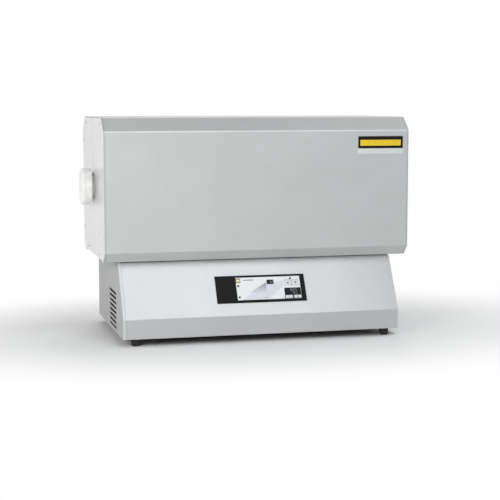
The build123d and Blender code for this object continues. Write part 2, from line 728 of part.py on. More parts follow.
def tube_collar(side):
    """Fibre ring that carries one end of the tube and fills the hole in the end panels."""
    start = side * INSULATION_LENGTH / 2
    shoulder = side * (PANEL_BACK - PANEL_GAP)
    end = side * HOUSING_LENGTH / 2
    collar = rod_x(COLLAR_RADIUS, start, shoulder)
    collar += rod_x(PANEL_HOLE_RADIUS - COLLAR_NECK_CLEARANCE, start, end)
    return collar - rod_x(
        TUBE_OUTER_RADIUS + TUBE_CLEARANCE, start - side * CUT_MARGIN, end + side * CUT_MARGIN
    )


def working_tube():
    """Ceramic tube that passes through both collars and stands out at each end."""
    tube = rod_x(TUBE_OUTER_RADIUS, -TUBE_HALF, TUBE_HALF)
    return tube - rod_x(TUBE_INNER_RADIUS, -TUBE_HALF - CUT_MARGIN, TUBE_HALF + CUT_MARGIN)


def end_plug(side):
    """Moulded fibre plug: a stem inside the tube and a wide head outside it."""
    head_start = TUBE_HALF + PLUG_CLEARANCE
    head_end = head_start + PLUG_HEAD_LENGTH
    stem_radius = TUBE_INNER_RADIUS - PLUG_CLEARANCE
    profile = Polygon(
        (0, head_start - PLUG_STEM_LENGTH),
        (stem_radius - PLUG_EDGE, head_start - PLUG_STEM_LENGTH),
        (stem_radius, head_start - PLUG_STEM_LENGTH + PLUG_EDGE),
        (stem_radius, head_start),
        (PLUG_HEAD_RADIUS, head_start),
        (PLUG_HEAD_RADIUS, head_end),
        (0, head_end),
        align=None,
    )
    outer_corners = profile.vertices().sort_by(Axis.X)[-2:]
    rim = sorted(outer_corners, key=lambda corner: corner.Y)
    profile = fillet(rim[-1], PLUG_EDGE)
    plug = revolve(Plane.XZ * profile, Axis.Z)
    return Pos(0, AXIS_Y, AXIS_Z) * Rot(0, side * 90, 0) * plug


def base_outline(inset=0.0):
    """Side view of the base's folded walls, run on below and behind the base."""
    run_on = 4 * CUT_MARGIN
    outline = Polygon(
        (FRONT_Y, FOOT_HEIGHT - run_on),
        (BASE_REAR + run_on, FOOT_HEIGHT - run_on),
        (BASE_REAR + run_on, BASE_TOP),
        (FRONT_Y + SLOPE_SETBACK, BASE_TOP),
        (FRONT_Y, FOOT_HEIGHT + LIP_HEIGHT),
        align=None,
    )
    outline = fillet(outline.vertices(), BASE_BEND)
    if inset:
        outline = offset(outline, amount=-inset)
    return outline


def base_envelope(half_width, rear):
    """Space that the base's walls are cut to, from the floor of the base up."""
    return block(
        (-half_width, FRONT_Y - CUT_MARGIN, FOOT_HEIGHT),
        (half_width, rear, BASE_TOP + CUT_MARGIN),
    )


def slope_frame():
    """Plane on the sloping front, centred on the controller and facing outwards."""
    share = CONTROLLER_RISE / (BASE_HEIGHT - LIP_HEIGHT)
    centre = (0, FRONT_Y + share * SLOPE_SETBACK, FOOT_HEIGHT + LIP_HEIGHT + CONTROLLER_RISE)
    lean = math.radians(SLOPE_ANGLE)
    return Plane(origin=centre, x_dir=(1, 0, 0), z_dir=(0, -math.cos(lean), math.sin(lean)))


def side_slots():
    """Air slots through both side walls of the base."""
    slot = Plane.YZ * SlotOverall(SIDE_SLOT_LENGTH, SIDE_SLOT_HEIGHT)
    cutter = extrude(slot, amount=BASE_WIDTH, both=True)
    middle = FRONT_Y + SIDE_SLOT_FRONT + SIDE_SLOT_LENGTH / 2
    lowest = FOOT_HEIGHT + SIDE_SLOT_LOWEST
    return [
        Pos(0, middle, lowest + row * SIDE_SLOT_PITCH) * cutter for row in range(SIDE_SLOT_COUNT)
    ]


def base_cover():
    """Folded hood of the base: both side walls, the top and narrow flanges at the front."""
    body = along_x(base_outline(), BASE_WIDTH)
    ends = body.faces().filter_by(Axis.X)
    body = fillet(ends[0].edges() + ends[-1].edges(), BASE_BEND)
    body -= along_x(base_outline(BASE_SHEET), BASE_WIDTH - 2 * BASE_SHEET)
    body &= base_envelope(BASE_WIDTH, BASE_REAR)
    open_half = BASE_WIDTH / 2 - CORNER_FLANGE
    front_end = FRONT_Y + SLOPE_SETBACK + FRONT_PANEL_HEM + BASE_PANEL_GAP
    body -= base_envelope(open_half, front_end)
    for cutter in side_slots():
        body -= cutter
    hole_radius = GROMMET_HOLE_RADIUS + SCREW_CLEARANCE
    return body - rod_z(
        hole_radius, GROMMET_X, GROMMET_Y, BASE_TOP - CUT_MARGIN, BASE_TOP + CUT_MARGIN
    )


def front_panel():
    """Front of the base in one folded sheet: lip, slope and a hem under the housing."""
    walls = base_outline() - base_outline(BASE_SHEET)
    half_width = BASE_WIDTH / 2 - CORNER_FLANGE - BASE_PANEL_GAP
    panel = along_x(walls, 2 * half_width)
    panel &= base_envelope(half_width, FRONT_Y + SLOPE_SETBACK + FRONT_PANEL_HEM)
    opening = Box(
        CONTROLLER_WIDTH - 2 * CONTROLLER_LAP, CONTROLLER_HEIGHT - 2 * CONTROLLER_LAP, CUT_MARGIN * 2
    )
    return panel - slope_frame().location * opening


def base_pan():
    """Floor of the base, a shallow tray with upturned edges inside the walls."""
    half = BASE_WIDTH / 2 - BASE_SHEET - BASE_PANEL_GAP
    front = FRONT_Y + BASE_SHEET + BASE_PANEL_GAP
    rear = BASE_REAR - BASE_SHEET - BASE_PANEL_GAP
    pan = block((-half, front, FOOT_HEIGHT), (half, rear, FOOT_HEIGHT + PAN_FLANGE))
    pan -= block(
        (-half + PAN_SHEET, front + PAN_SHEET, PAN_TOP),
        (half - PAN_SHEET, rear - PAN_SHEET, FOOT_HEIGHT + PAN_FLANGE + CUT_MARGIN),
    )
    for x, y in foot_places().values():
        pan -= rod_z(SCREW_RADIUS + SCREW_CLEARANCE, x, y, 0, PAN_TOP + CUT_MARGIN)
    for x in rear_panel_screw_xs():
        pan -= rod_y(
            SCREW_RADIUS + SCREW_CLEARANCE, x, rear - CUT_MARGIN, BASE_REAR, rear_screw_z()
        )
    return pan


def rear_panel_screw_xs():
    """Places of the base's rear screws along X."""
    reach = BASE_WIDTH / 2 - FOOT_SIDE_INSET
    return [-reach, -reach / 3, reach / 3, reach]


def rear_screw_z():
    """Height of the base's rear screws, in the middle of the pan's upturned edge."""
    return FOOT_HEIGHT + PAN_FLANGE / 2 + PAN_SHEET / 2


def base_rear_panel():
    """Flat rear wall of the base, with openings for the inlet, the switch and the fuses."""
    half = BASE_WIDTH / 2 - BASE_SHEET - BASE_PANEL_GAP
    top = BASE_TOP - BASE_SHEET - BASE_PANEL_GAP
    panel = block((-half, BASE_REAR - BASE_SHEET, FOOT_HEIGHT), (half, BASE_REAR, top))
    inlet = [INLET_CAVITY[i] / 2 + INLET_WALL + BASE_PANEL_GAP for i in (0, 1)]
    switch = [SWITCH_OPENING[i] / 2 + SWITCH_WALL + BASE_PANEL_GAP for i in (0, 1)]
    for x, (reach, rise) in ((INLET_X, inlet), (SWITCH_X, switch)):
        panel -= block(
            (x - reach, BASE_REAR - CUT_MARGIN, FITTING_Z - rise),
            (x + reach, BASE_REAR + CUT_MARGIN, FITTING_Z + rise),
        )
    for x in FUSE_XS:
        panel -= rod_y(
            FUSE_BODY_RADIUS + BASE_PANEL_GAP,
            x,
            BASE_REAR - CUT_MARGIN,
            BASE_REAR + CUT_MARGIN,
            FITTING_Z,
        )
    for x in rear_panel_screw_xs():
        panel -= rod_y(
            SCREW_RADIUS + SCREW_CLEARANCE,
            x,
            BASE_REAR - CUT_MARGIN,
            BASE_REAR + CUT_MARGIN,
            rear_screw_z(),
        )
    return panel


def rear_panel_screws():
    """Round-headed screws that hold the rear panel to the pan."""
    place = Rot(-90, 0, 0) * round_screw()
    return group(Pos(x, BASE_REAR, rear_screw_z()) * place for x in rear_panel_screw_xs())


def foot_places():
    """Centre of each foot, as X and Y."""
    reach = BASE_WIDTH / 2 - FOOT_SIDE_INSET
    front, rear = FRONT_Y + FOOT_FRONT_INSET, BASE_REAR - FOOT_REAR_INSET
    return {
        "foot_front_left": (-reach, front),
        "foot_front_right": (reach, front),
        "foot_rear_left": (-reach, rear),
        "foot_rear_right": (reach, rear),
    }


def rubber_foot(x, y):
    """Tapered rubber foot with a recess from below for its screw."""
    hole = SCREW_RADIUS + SCREW_CLEARANCE
    profile = Polygon(
        (FOOT_RECESS_RADIUS, 0),
        (FOOT_RADIUS - FOOT_TAPER - FOOT_EDGE, 0),
        (FOOT_RADIUS - FOOT_TAPER, FOOT_EDGE),
        (FOOT_RADIUS, FOOT_HEIGHT),
        (hole, FOOT_HEIGHT),
        (hole, FOOT_RECESS_DEPTH),
        (FOOT_RECESS_RADIUS, FOOT_RECESS_DEPTH),
        align=None,
    )
    return Pos(x, y, 0) * revolve(Plane.XZ * profile, Axis.Z)


def foot_screws():
    """Screws that hold the feet to the pan from below."""
    shank_end = PAN_TOP + SCREW_HEAD_HEIGHT
    screws = []
    for x, y in foot_places().values():
        head_low = FOOT_RECESS_DEPTH - SCREW_HEAD_HEIGHT
        screw = rod_z(SCREW_HEAD_RADIUS, x, y, head_low, FOOT_RECESS_DEPTH)
        screws.append(screw + rod_z(SCREW_RADIUS, x, y, head_low, shank_end))
    return group(screws)


def housing_gasket():
    """Flat rubber seal between the top of the base and the floor of the housing."""
    half = BASE_WIDTH / 2 - GASKET_INSET
    front = FRONT_Y + SLOPE_SETBACK + GASKET_INSET
    rear = HOUSING_REAR - BOTTOM_CHAMFER_DEPTH - GASKET_INSET
    seal = block((-half, front, BASE_TOP), (half, rear, HOUSING_BOTTOM))
    return seal - block(
        (-half + GASKET_WIDTH, front + GASKET_WIDTH, BASE_TOP - CUT_MARGIN),
        (half - GASKET_WIDTH, rear - GASKET_WIDTH, HOUSING_BOTTOM + CUT_MARGIN),
    )


def cable_grommet():
    """Rubber bush that lines the cable hole from the base up into the housing."""
    low = BASE_TOP - BASE_SHEET
    bore = CABLE_RADIUS + CABLE_CLEARANCE
    profile = Polygon(
        (bore, low - GROMMET_LIP),
        (GROMMET_HOLE_RADIUS + GROMMET_LIP, low - GROMMET_LIP),
        (GROMMET_HOLE_RADIUS + GROMMET_LIP, low),
        (GROMMET_HOLE_RADIUS, low),
        (GROMMET_HOLE_RADIUS, TRAY_TOP),
        (GROMMET_HOLE_RADIUS + GROMMET_LIP, TRAY_TOP),
        (GROMMET_HOLE_RADIUS + GROMMET_LIP, TRAY_TOP + GROMMET_LIP),
        (bore, TRAY_TOP + GROMMET_LIP),
        align=None,
    )
    return Pos(GROMMET_X, GROMMET_Y, 0) * revolve(Plane.XZ * profile, Axis.Z)


def pocket(size, place, low, high, gap=0.0):
    """Straight-sided block on the controller's face, between two heights above it."""
    half_width, half_height = size[0] / 2 + gap, size[1] / 2 + gap
    x, y = place
    return block((x - half_width, y - half_height, low), (x + half_width, y + half_height, high))


def face_place(place):
    """Point on the controller's face from its distances to the right edge and the middle line."""
    return (CONTROLLER_WIDTH / 2 + place[0], place[1])


def key_sizes():
    """Size of each key's cap."""
    upper = {name: UPPER_KEY_SIZE for name in ("key_up", "key_down")}
    lower = {name: LOWER_KEY_SIZE for name in ("key_enter", "key_page")}
    return {**upper, **lower}


def well_floor():
    """Depth of the wells under the keys and windows, which leaves room for a key's travel."""
    return BEZEL_THICKNESS + KEY_PROUD - KEY_THICKNESS - KEY_TRAVEL - KEY_GAP


def face_openings(low, high, gap):
    """Cutters for the display, window, lamp, lenses and keys."""
    cutters = [
        pocket(DISPLAY_SIZE, face_place(DISPLAY_PLACE), low, high, gap),
        pocket(WINDOW_SIZE, face_place(WINDOW_PLACE), low, high, gap),
        pocket(LAMP_SIZE, face_place(LAMP_PLACE), low, high, gap),
    ]
    for place in LENS_PLACES:
        cutters.append(rod_z(LENS_RADIUS + gap, *face_place(place), low, high))
    for name, size in key_sizes().items():
        cutters.append(pocket(size, face_place(KEY_PLACES[name]), low, high, gap))
    return cutters


def controller_bezel():
    """Black front plate of the controller, with a shallow bed for the keypad foil."""
    bezel = pocket((CONTROLLER_WIDTH, CONTROLLER_HEIGHT), (0, 0), 0, BEZEL_THICKNESS)
    bezel = chamfer(bezel.faces().sort_by(Axis.Z)[-1].edges(), BEZEL_EDGE)
    bed = BEZEL_THICKNESS - FOIL_THICKNESS
    bezel -= pocket(
        (FOIL_WIDTH, FOIL_HEIGHT), (FOIL_OFFSET, 0), bed, BEZEL_THICKNESS + CUT_MARGIN, FOIL_GAP
    )
    for cutter in face_openings(well_floor(), BEZEL_THICKNESS + CUT_MARGIN, KEY_GAP):
        bezel -= cutter
    return slope_frame().location * bezel


def controller_body():
    """Closed case of the controller behind the sloping front."""
    gap = BASE_PANEL_GAP
    size = (
        CONTROLLER_WIDTH - 2 * CONTROLLER_LAP - 2 * gap,
        CONTROLLER_HEIGHT - 2 * CONTROLLER_LAP - 2 * gap,
    )
    return slope_frame().location * pocket(size, (0, 0), -CONTROLLER_DEPTH, 0)


def keypad_foil():
    """Printed foil that covers the right part of the controller's face."""
    bed = BEZEL_THICKNESS - FOIL_THICKNESS
    foil = pocket((FOIL_WIDTH, FOIL_HEIGHT), (FOIL_OFFSET, 0), bed, BEZEL_THICKNESS)
    for cutter in face_openings(bed - CUT_MARGIN, BEZEL_THICKNESS + CUT_MARGIN, KEY_GAP):
        foil -= cutter
    return slope_frame().location * foil


def face_insert(size, place):
    """Dark window that fills its opening down to the floor of its well."""
    insert = pocket(size, face_place(place), well_floor(), BEZEL_THICKNESS)
    return slope_frame().location * insert


def indicator_lenses():
    """Three small round lamps and one square lamp in the controller's face."""
    top = BEZEL_THICKNESS + KEY_PROUD
    lenses = [rod_z(LENS_RADIUS, *face_place(place), well_floor(), top) for place in LENS_PLACES]
    lenses.append(pocket(LAMP_SIZE, face_place(LAMP_PLACE), well_floor(), BEZEL_THICKNESS))
    return group(slope_frame().location * lens for lens in lenses)


def key_cap(name):
    """Rounded cap of one key, standing just proud of the foil."""
    top = BEZEL_THICKNESS + KEY_PROUD
    cap = pocket(key_sizes()[name], face_place(KEY_PLACES[name]), top - KEY_THICKNESS, top)
    cap = fillet(cap.edges().filter_by(Axis.Z), KEY_CORNER_RADIUS)
    cap = chamfer(cap.faces().sort_by(Axis.Z)[-1].edges(), KEY_PROUD)
    return slope_frame().location * cap


def inlet_housing():
    """Mains inlet: a flanged well in the rear panel for the connector of the supply lead."""
    width, height = INLET_CAVITY
    outer = (width + 2 * INLET_WALL, height + 2 * INLET_WALL)
    body = pocket(outer, (0, 0), -INLET_DEPTH, 0)
    body += pocket(INLET_FLANGE, (0, 0), 0, INLET_FLANGE_THICKNESS)
    body = chamfer(body.faces().sort_by(Axis.Z)[-1].edges(), INLET_EDGE)
    floor = -INLET_DEPTH + INLET_WALL
    cavity = pocket(INLET_CAVITY, (0, 0), floor, CUT_MARGIN)
    body -= fillet(cavity.edges().filter_by(Axis.Z), INLET_CORNER_RADIUS)
    return inlet_frame().location * body


def inlet_frame():
    """Plane on the rear panel, centred on the inlet and facing to the rear."""
    return Plane(origin=(INLET_X, BASE_REAR, FITTING_Z), x_dir=(-1, 0, 0), z_dir=(0, 1, 0))


def inlet_pins():
    """Three flat contact pins that stand up from the floor of the inlet."""
    floor = -INLET_DEPTH + INLET_WALL
    places = [(-PIN_SPACING / 2, -PIN_RISE), (PIN_SPACING / 2, -PIN_RISE), (0, PIN_RISE)]
    frame = inlet_frame().location
    pins = []
    for place in places:
        pin = pocket(PIN_SIZE, place, floor, floor + PIN_LENGTH)
        pins.append(frame * chamfer(pin.faces().sort_by(Axis.Z)[-1].edges(), PIN_EDGE))
    return group(pins)


def switch_frame_plane():
    """Plane on the rear panel, centred on the rocker's axis and facing to the rear."""
    return Plane(origin=(SWITCH_X, BASE_REAR, FITTING_Z), x_dir=(-1, 0, 0), z_dir=(0, 1, 0))


def switch_frame():
    """Open case of the rocker switch with a thin flange round it."""
    width, height = SWITCH_OPENING
    outer = (width + 2 * SWITCH_WALL, height + 2 * SWITCH_WALL)
    flange = (outer[0] + 2 * SWITCH_FLANGE_LAP, outer[1] + 2 * SWITCH_FLANGE_LAP)
    body = pocket(outer, (0, 0), -SWITCH_DEPTH, 0)
    body += pocket(flange, (0, 0), 0, SWITCH_FLANGE_THICKNESS)
    body = chamfer(body.faces().sort_by(Axis.Z)[-1].edges(), SWITCH_EDGE)
    body -= pocket(SWITCH_OPENING, (0, 0), -SWITCH_DEPTH + SWITCH_WALL, CUT_MARGIN)
    reach = width / 2 + SWITCH_WALL
    body -= Rot(0, 90, 0) * Cylinder(ROCKER_STUB_RADIUS + ROCKER_STUB_CLEARANCE, 2 * reach)
    return switch_frame_plane().location * body


def switch_rocker():
    """Rocker with a shallow valley in its face, on two stub axles, tipped to its off side."""
    half_width = SWITCH_OPENING[0] / 2 - ROCKER_GAP
    tip = math.sqrt(ROCKER_REACH**2 - ROCKER_CROWN**2)
    skirt_half = tip * ROCKER_SKIRT_WIDTH_SHARE
    skirt_low = -tip * ROCKER_SKIRT_DEPTH_SHARE
    profile = Polygon(
        (-tip, ROCKER_CROWN),
        (-tip, -ROCKER_DIP),
        (-skirt_half, skirt_low),
        (skirt_half, skirt_low),
        (tip, -ROCKER_DIP),
        (tip, ROCKER_CROWN),
        (0, ROCKER_DIP),
        align=None,
    )
    rocker = extrude(Plane.YZ.offset(-half_width) * profile, amount=2 * half_width)
    stub_reach = SWITCH_OPENING[0] / 2 + SWITCH_WALL
    rocker += Rot(0, 90, 0) * Cylinder(ROCKER_STUB_RADIUS, 2 * stub_reach)
    return switch_frame_plane().location * Rot(ROCKER_REST_TILT, 0, 0) * rocker


def fuse_holders():
    """Two round fuse holders with slotted caps."""
    slot_length, slot_depth, slot_width = FUSE_SLOT
    holders = []
    for x in FUSE_XS:
        cap_end = BASE_REAR + FUSE_HEAD_LENGTH
        cap = rod_y(FUSE_RADIUS, x, BASE_REAR, cap_end, FITTING_Z)
        cap = chamfer(cap.edges().sort_by(Axis.Y)[-1], FUSE_CAP_EDGE)
        cap -= block(
            (x - slot_length / 2, cap_end - slot_depth, FITTING_Z - slot_width / 2),
            (x + slot_length / 2, cap_end + CUT_MARGIN, FITTING_Z + slot_width / 2),
        )
        body_end = BASE_REAR - FUSE_BODY_LENGTH
        holders.append(cap + rod_y(FUSE_BODY_RADIUS, x, body_end, BASE_REAR, FITTING_Z))
    return group(holders)


def heat_sink():
    """Finned aluminium block on the pan, with its fins down and a flat seat on top."""
    length, depth, height = SINK_SIZE
    x, y = RELAY_PLACE
    sink = block(
        (x - length / 2, y - depth / 2, PAN_TOP), (x + length / 2, y + depth / 2, PAN_TOP + height)
    )
    pitch = (length - SINK_FIN_SHEET) / (SINK_FIN_COUNT - 1)
    for gap in range(SINK_FIN_COUNT - 1):
        start = x - length / 2 + SINK_FIN_SHEET + gap * pitch
        sink -= block(
            (start, y - depth, PAN_TOP - CUT_MARGIN),
            (start + pitch - SINK_FIN_SHEET, y + depth, PAN_TOP + height - SINK_FLOOR),
        )
    return sink


def solid_state_relay():
    """Relay block on the heat sink, with raised screw terminals at both ends."""
    length, depth, height = RELAY_SIZE
    x, y = RELAY_PLACE
    low = PAN_TOP + SINK_SIZE[2]
    relay = block(
        (x - length / 2, y - depth / 2, low), (x + length / 2, y + depth / 2, low + height)
    )
    notch_length, notch_depth, notch_height = RELAY_NOTCH
    for side in (-1, 1):
        edge = x + side * length / 2
        inner, outer = sorted((edge - side * notch_length, edge + side * CUT_MARGIN))
        relay -= block(
            (inner, y - notch_depth / 2, low + height - notch_height),
            (outer, y + notch_depth / 2, low + height + CUT_MARGIN),
        )
    return relay


def terminal_strip():
    """Row of screw terminals with a wire entry under each screw."""
    length, depth, height = TERMINAL_SIZE
    x, y = TERMINAL_PLACE
    top = PAN_TOP + height
    entry_z = PAN_TOP + TERMINAL_ENTRY_HEIGHT
    strip = block(
        (x - length / 2, y - depth / 2, PAN_TOP), (x + length / 2, y + depth / 2, top)
    )
    pitch = length / TERMINAL_WAYS
    for way in range(TERMINAL_WAYS):
        centre = x - length / 2 + (way + 0.5) * pitch
        strip -= rod_z(TERMINAL_WELL_RADIUS, centre, y, top - TERMINAL_WELL_DEPTH, top + CUT_MARGIN)
        strip -= rod_y(TERMINAL_ENTRY_RADIUS, centre, y - depth, y + depth, entry_z)
    return strip


def contactor():
    """Mains contactor: a ridged block with a row of terminal wells front and rear."""
    length, depth, height = CONTACTOR_SIZE
    x, y = CONTACTOR_PLACE
    step_top = PAN_TOP + CONTACTOR_STEP_HEIGHT
    body = block((x - length / 2, y - depth / 2, PAN_TOP), (x + length / 2, y + depth / 2, step_top))
    body += block(
        (x - length / 2, y - CONTACTOR_RIDGE_DEPTH / 2, PAN_TOP),
        (x + length / 2, y + CONTACTOR_RIDGE_DEPTH / 2, PAN_TOP + height),
    )
    pitch = length / CONTACTOR_WAYS
    reach = (depth + CONTACTOR_RIDGE_DEPTH) / 4
    well_floor_z = step_top - CONTACTOR_WELL_DEPTH
    for side in (-1, 1):
        for way in range(CONTACTOR_WAYS):
            centre = x - length / 2 + (way + 0.5) * pitch
            body -= rod_z(
                CONTACTOR_WELL_RADIUS, centre, y + side * reach, well_floor_z, step_top + CUT_MARGIN
            )
    return body


def supply_cable():
    """Sleeved cable from the terminal strip to the rear of the housing, and its four wires."""
    strip_x, strip_y = TERMINAL_PLACE
    start_z = PAN_TOP + TERMINAL_SIZE[2] + CABLE_CLEARANCE
    below_z = BASE_TOP - BASE_SHEET - 2 * CABLE_BEND
    above_z = TRAY_TOP + CABLE_TRAY_RISE
    rear_y = HOUSING_REAR - HOUSING_SHEET - REAR_COVER_SHEET - CABLE_REAR_GAP - CABLE_RADIUS
    heights = sorted(lead_places())
    top_z = heights[0] - CONNECTOR_RADIUS - CABLE_REAR_GAP
    corners = [
        (strip_x, strip_y, start_z),
        (strip_x, strip_y, (start_z + below_z) / 2),
        (GROMMET_X, GROMMET_Y, below_z),
        (GROMMET_X, GROMMET_Y, above_z),
        (LEAD_X, rear_y, above_z),
        (LEAD_X, rear_y, top_z),
    ]
    pieces = [swept_round(corners, CABLE_RADIUS, CABLE_BEND)]
    end_y = LEAD_END_Y + SCREW_RADIUS
    for number, z in enumerate(heights):
        x = LEAD_X + (number - (len(heights) - 1) / 2) * WIRE_SPACING
        wire = [(x, rear_y, top_z), (x, rear_y, z), (x, end_y, z)]
        pieces.append(swept_round(wire, WIRE_RADIUS, WIRE_BEND))
    return group(pieces)


def name_plate():
    """Plain thin plate near the right end of the housing's front face."""
    right = HOUSING_LENGTH / 2 - PLATE_SIDE_MARGIN
    top = HOUSING_TOP - TOP_CHAMFER_HEIGHT - PLATE_TOP_MARGIN
    return block(
        (right - PLATE_LENGTH, HOUSING_FRONT - PLATE_THICKNESS, top - PLATE_HEIGHT),
        (right, HOUSING_FRONT, top),
    )


def all_nodes():
    """Every piece of the furnace by name."""
    nodes = {
        "housing_wrap": housing_wrap(),
        "housing_tray": housing_tray(),
        "end_panel_screws": end_panel_screws(),
        "rear_cover": rear_cover(),
        "rear_cover_screws": rear_cover_screws(),
        "inner_liner": inner_liner(),
        "liner_end_plates": liner_end_plates(),
        "liner_supports": liner_supports(),
        "insulation_lower": insulation_half(-1),
        "insulation_upper": insulation_half(1),
        "heater_lower": heater(-1),
        "heater_upper": heater(1),
        "heater_bushes": heater_bushes(),
        "heater_connectors": heater_connectors(),
        "thermocouple_sheath": thermocouple_sheath(),
        "thermocouple_head": thermocouple_head(),
        "working_tube": working_tube(),
        "housing_gasket": housing_gasket(),
        "cable_grommet": cable_grommet(),
        "base_cover": base_cover(),
        "front_panel": front_panel(),
        "base_pan": base_pan(),
        "base_rear_panel": base_rear_panel(),
        "rear_panel_screws": rear_panel_screws(),
        "foot_screws": foot_screws(),
        "controller_bezel": controller_bezel(),
        "controller_body": controller_body(),
        "keypad_foil": keypad_foil(),
        "display_window": face_insert(DISPLAY_SIZE, DISPLAY_PLACE),
        "status_window": face_insert(WINDOW_SIZE, WINDOW_PLACE),
        "indicator_lenses": indicator_lenses(),
        "inlet_housing": inlet_housing(),
        "inlet_pins": inlet_pins(),
        "switch_frame": switch_frame(),
        "switch_rocker": switch_rocker(),
        "fuse_holders": fuse_holders(),
        "heat_sink": heat_sink(),
        "solid_state_relay": solid_state_relay(),
        "terminal_strip": terminal_strip(),
        "contactor": contactor(),
        "supply_cable": supply_cable(),
        "name_plate": name_plate(),
    }
    for side, end in ((-1, "left"), (1, "right")):
        nodes[end + "_end_panel_front"] = end_panel(side, -1)
        nodes[end + "_end_panel_rear"] = end_panel(side, 1)
        nodes[end + "_end_frame"] = end_frame(side)
        nodes[end + "_tube_collar"] = tube_collar(side)
        nodes[end + "_plug"] = end_plug(side)
    for name, (x, y) in foot_places().items():
        nodes[name] = rubber_foot(x, y)
    for name in KEY_PLACES:
        nodes[name] = key_cap(name)
    return nodes


os.makedirs("parts", exist_ok=True)
for node_name, shape in all_nodes().items():
    export_step(shape, f"parts/{node_name}.step")
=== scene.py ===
import json
import math

import bmesh
import bpy
import numpy as np
from bpy.props import (
    FloatProperty,
    FloatVectorProperty,
    IntProperty,
    PointerProperty,
)
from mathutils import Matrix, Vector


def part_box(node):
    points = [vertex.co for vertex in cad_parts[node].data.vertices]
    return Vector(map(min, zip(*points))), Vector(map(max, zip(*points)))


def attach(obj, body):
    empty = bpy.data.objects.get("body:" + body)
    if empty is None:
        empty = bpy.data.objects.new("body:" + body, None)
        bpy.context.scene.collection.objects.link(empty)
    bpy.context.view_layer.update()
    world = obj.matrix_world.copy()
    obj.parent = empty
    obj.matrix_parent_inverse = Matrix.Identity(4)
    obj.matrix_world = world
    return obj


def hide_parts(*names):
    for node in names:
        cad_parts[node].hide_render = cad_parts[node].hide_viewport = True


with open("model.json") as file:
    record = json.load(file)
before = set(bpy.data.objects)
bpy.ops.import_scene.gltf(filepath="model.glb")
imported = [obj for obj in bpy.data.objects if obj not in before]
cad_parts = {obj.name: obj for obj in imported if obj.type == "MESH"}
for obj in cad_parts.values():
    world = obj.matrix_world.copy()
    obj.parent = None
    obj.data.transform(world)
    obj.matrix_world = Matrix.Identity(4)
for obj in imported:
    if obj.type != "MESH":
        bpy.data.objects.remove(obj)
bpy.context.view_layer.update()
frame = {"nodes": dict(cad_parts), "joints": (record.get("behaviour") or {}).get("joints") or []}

# The looks of a bench tube furnace: painted sheet, plugs, controller face, fasteners and stage.
# Lengths are metres, in the frame's own axes: X along the tube, Y to the rear, Z up.

bl_info = {
    "name": "Tube furnace looks",
    "version": (1, 0, 0),
    "blender": (4, 5, 0),
    "location": "3D View > Sidebar > Furnace",
    "description": "Finishes and fine detail for a bench tube furnace",
    "category": "Object",
}

MM = 0.001


# Places taken from the frame


def corners(node):
    """Lowest and highest corner of a node as arrays."""
    low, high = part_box(node)
    return np.array(low), np.array(high)


def middle(node):
    """Middle of a node's box."""
    low, high = corners(node)
    return (low + high) / 2


HOUSING_LOW, HOUSING_HIGH = corners("housing_wrap")
BASE_LOW, BASE_HIGH = corners("base_cover")
AXIS = middle("working_tube")

# Lean of the sloping front, from how far it sets back over its height
SLOPE_SETBACK = 62 * MM
SLOPE_HEIGHT = 110 * MM
SLOPE_LEAN = math.atan2(SLOPE_SETBACK, SLOPE_HEIGHT)
FOIL_THICKNESS = 0.8 * MM
# Depth and height of the housing's top chamfers
TOP_CHAMFER = (32 * MM, 28 * MM)

# Air slots in the base's side walls
SLOT_COUNT, SLOT_PITCH, SLOT_LENGTH = 8, 10.2 * MM, 90 * MM
SLOT_LOWEST, SLOT_MIDDLE = 25 * MM, -44 * MM

# End plugs
HEAD_LENGTH = 20 * MM
STEM_RADIUS = 19.7 * MM

# Fasteners: places from the edges of what they hold, and the shapes of their heads
PANEL_SCREW_INSET = 13 * MM
TOP_SCREW_INSET = 48 * MM
SIDE_SCREW_INSET = 51 * MM
BOTTOM_SCREW_INSET = 82 * MM
COVER_SCREW_REACH = (277 * MM, 92 * MM)
REAR_SCREW_INSET = 28 * MM
REAR_SCREW_RISE = 7.75 * MM
HEAD_RADIUS = 3.75 * MM
SHANK_RADIUS = 1.9 * MM
HEAD_HEIGHT = 2.15 * MM
RECESS_REACH = 2.1 * MM
RECESS_WIDTH = 0.95 * MM
RECESS_DEPTH = 1.1 * MM

# Axes of the controller's face: to the right, up the slope and out of it
FACE_RIGHT = np.array([1.0, 0.0, 0.0])
FACE_UP = np.array([0.0, math.sin(SLOPE_LEAN), math.cos(SLOPE_LEAN)])
FACE_OUT = np.array([0.0, -math.cos(SLOPE_LEAN), math.sin(SLOPE_LEAN)])
FOIL_TOP = middle("keypad_foil") + FACE_OUT * FOIL_THICKNESS / 2
FACE_ORIGIN = FOIL_TOP - FACE_RIGHT * FOIL_TOP[0]


# Settings that a user would change


class FurnacePaint(bpy.types.PropertyGroup):
    housing_colour: FloatVectorProperty(
        name="Housing colour",
        description="Powder coat of the upper housing",
        subtype="COLOR",
        size=3,
        min=0.0,
        max=1.0,
        default=(0.580, 0.587, 0.585),
    )
    base_colour: FloatVectorProperty(
        name="Base colour",
        description="Powder coat of the base",
        subtype="COLOR",
        size=3,
        min=0.0,
        max=1.0,
        default=(0.488, 0.492, 0.498),
    )
    grain: FloatProperty(
        name="Grain",
        description="Size of the coat's fine texture",
        default=0.9 * MM,
        min=0.1 * MM,
        max=5 * MM,
        unit="LENGTH",
    )
    gloss: FloatProperty(
        name="Roughness",
        description="Roughness of the coat",
        default=0.34,
        min=0.0,
        max=1.0,
        subtype="FACTOR",
    )


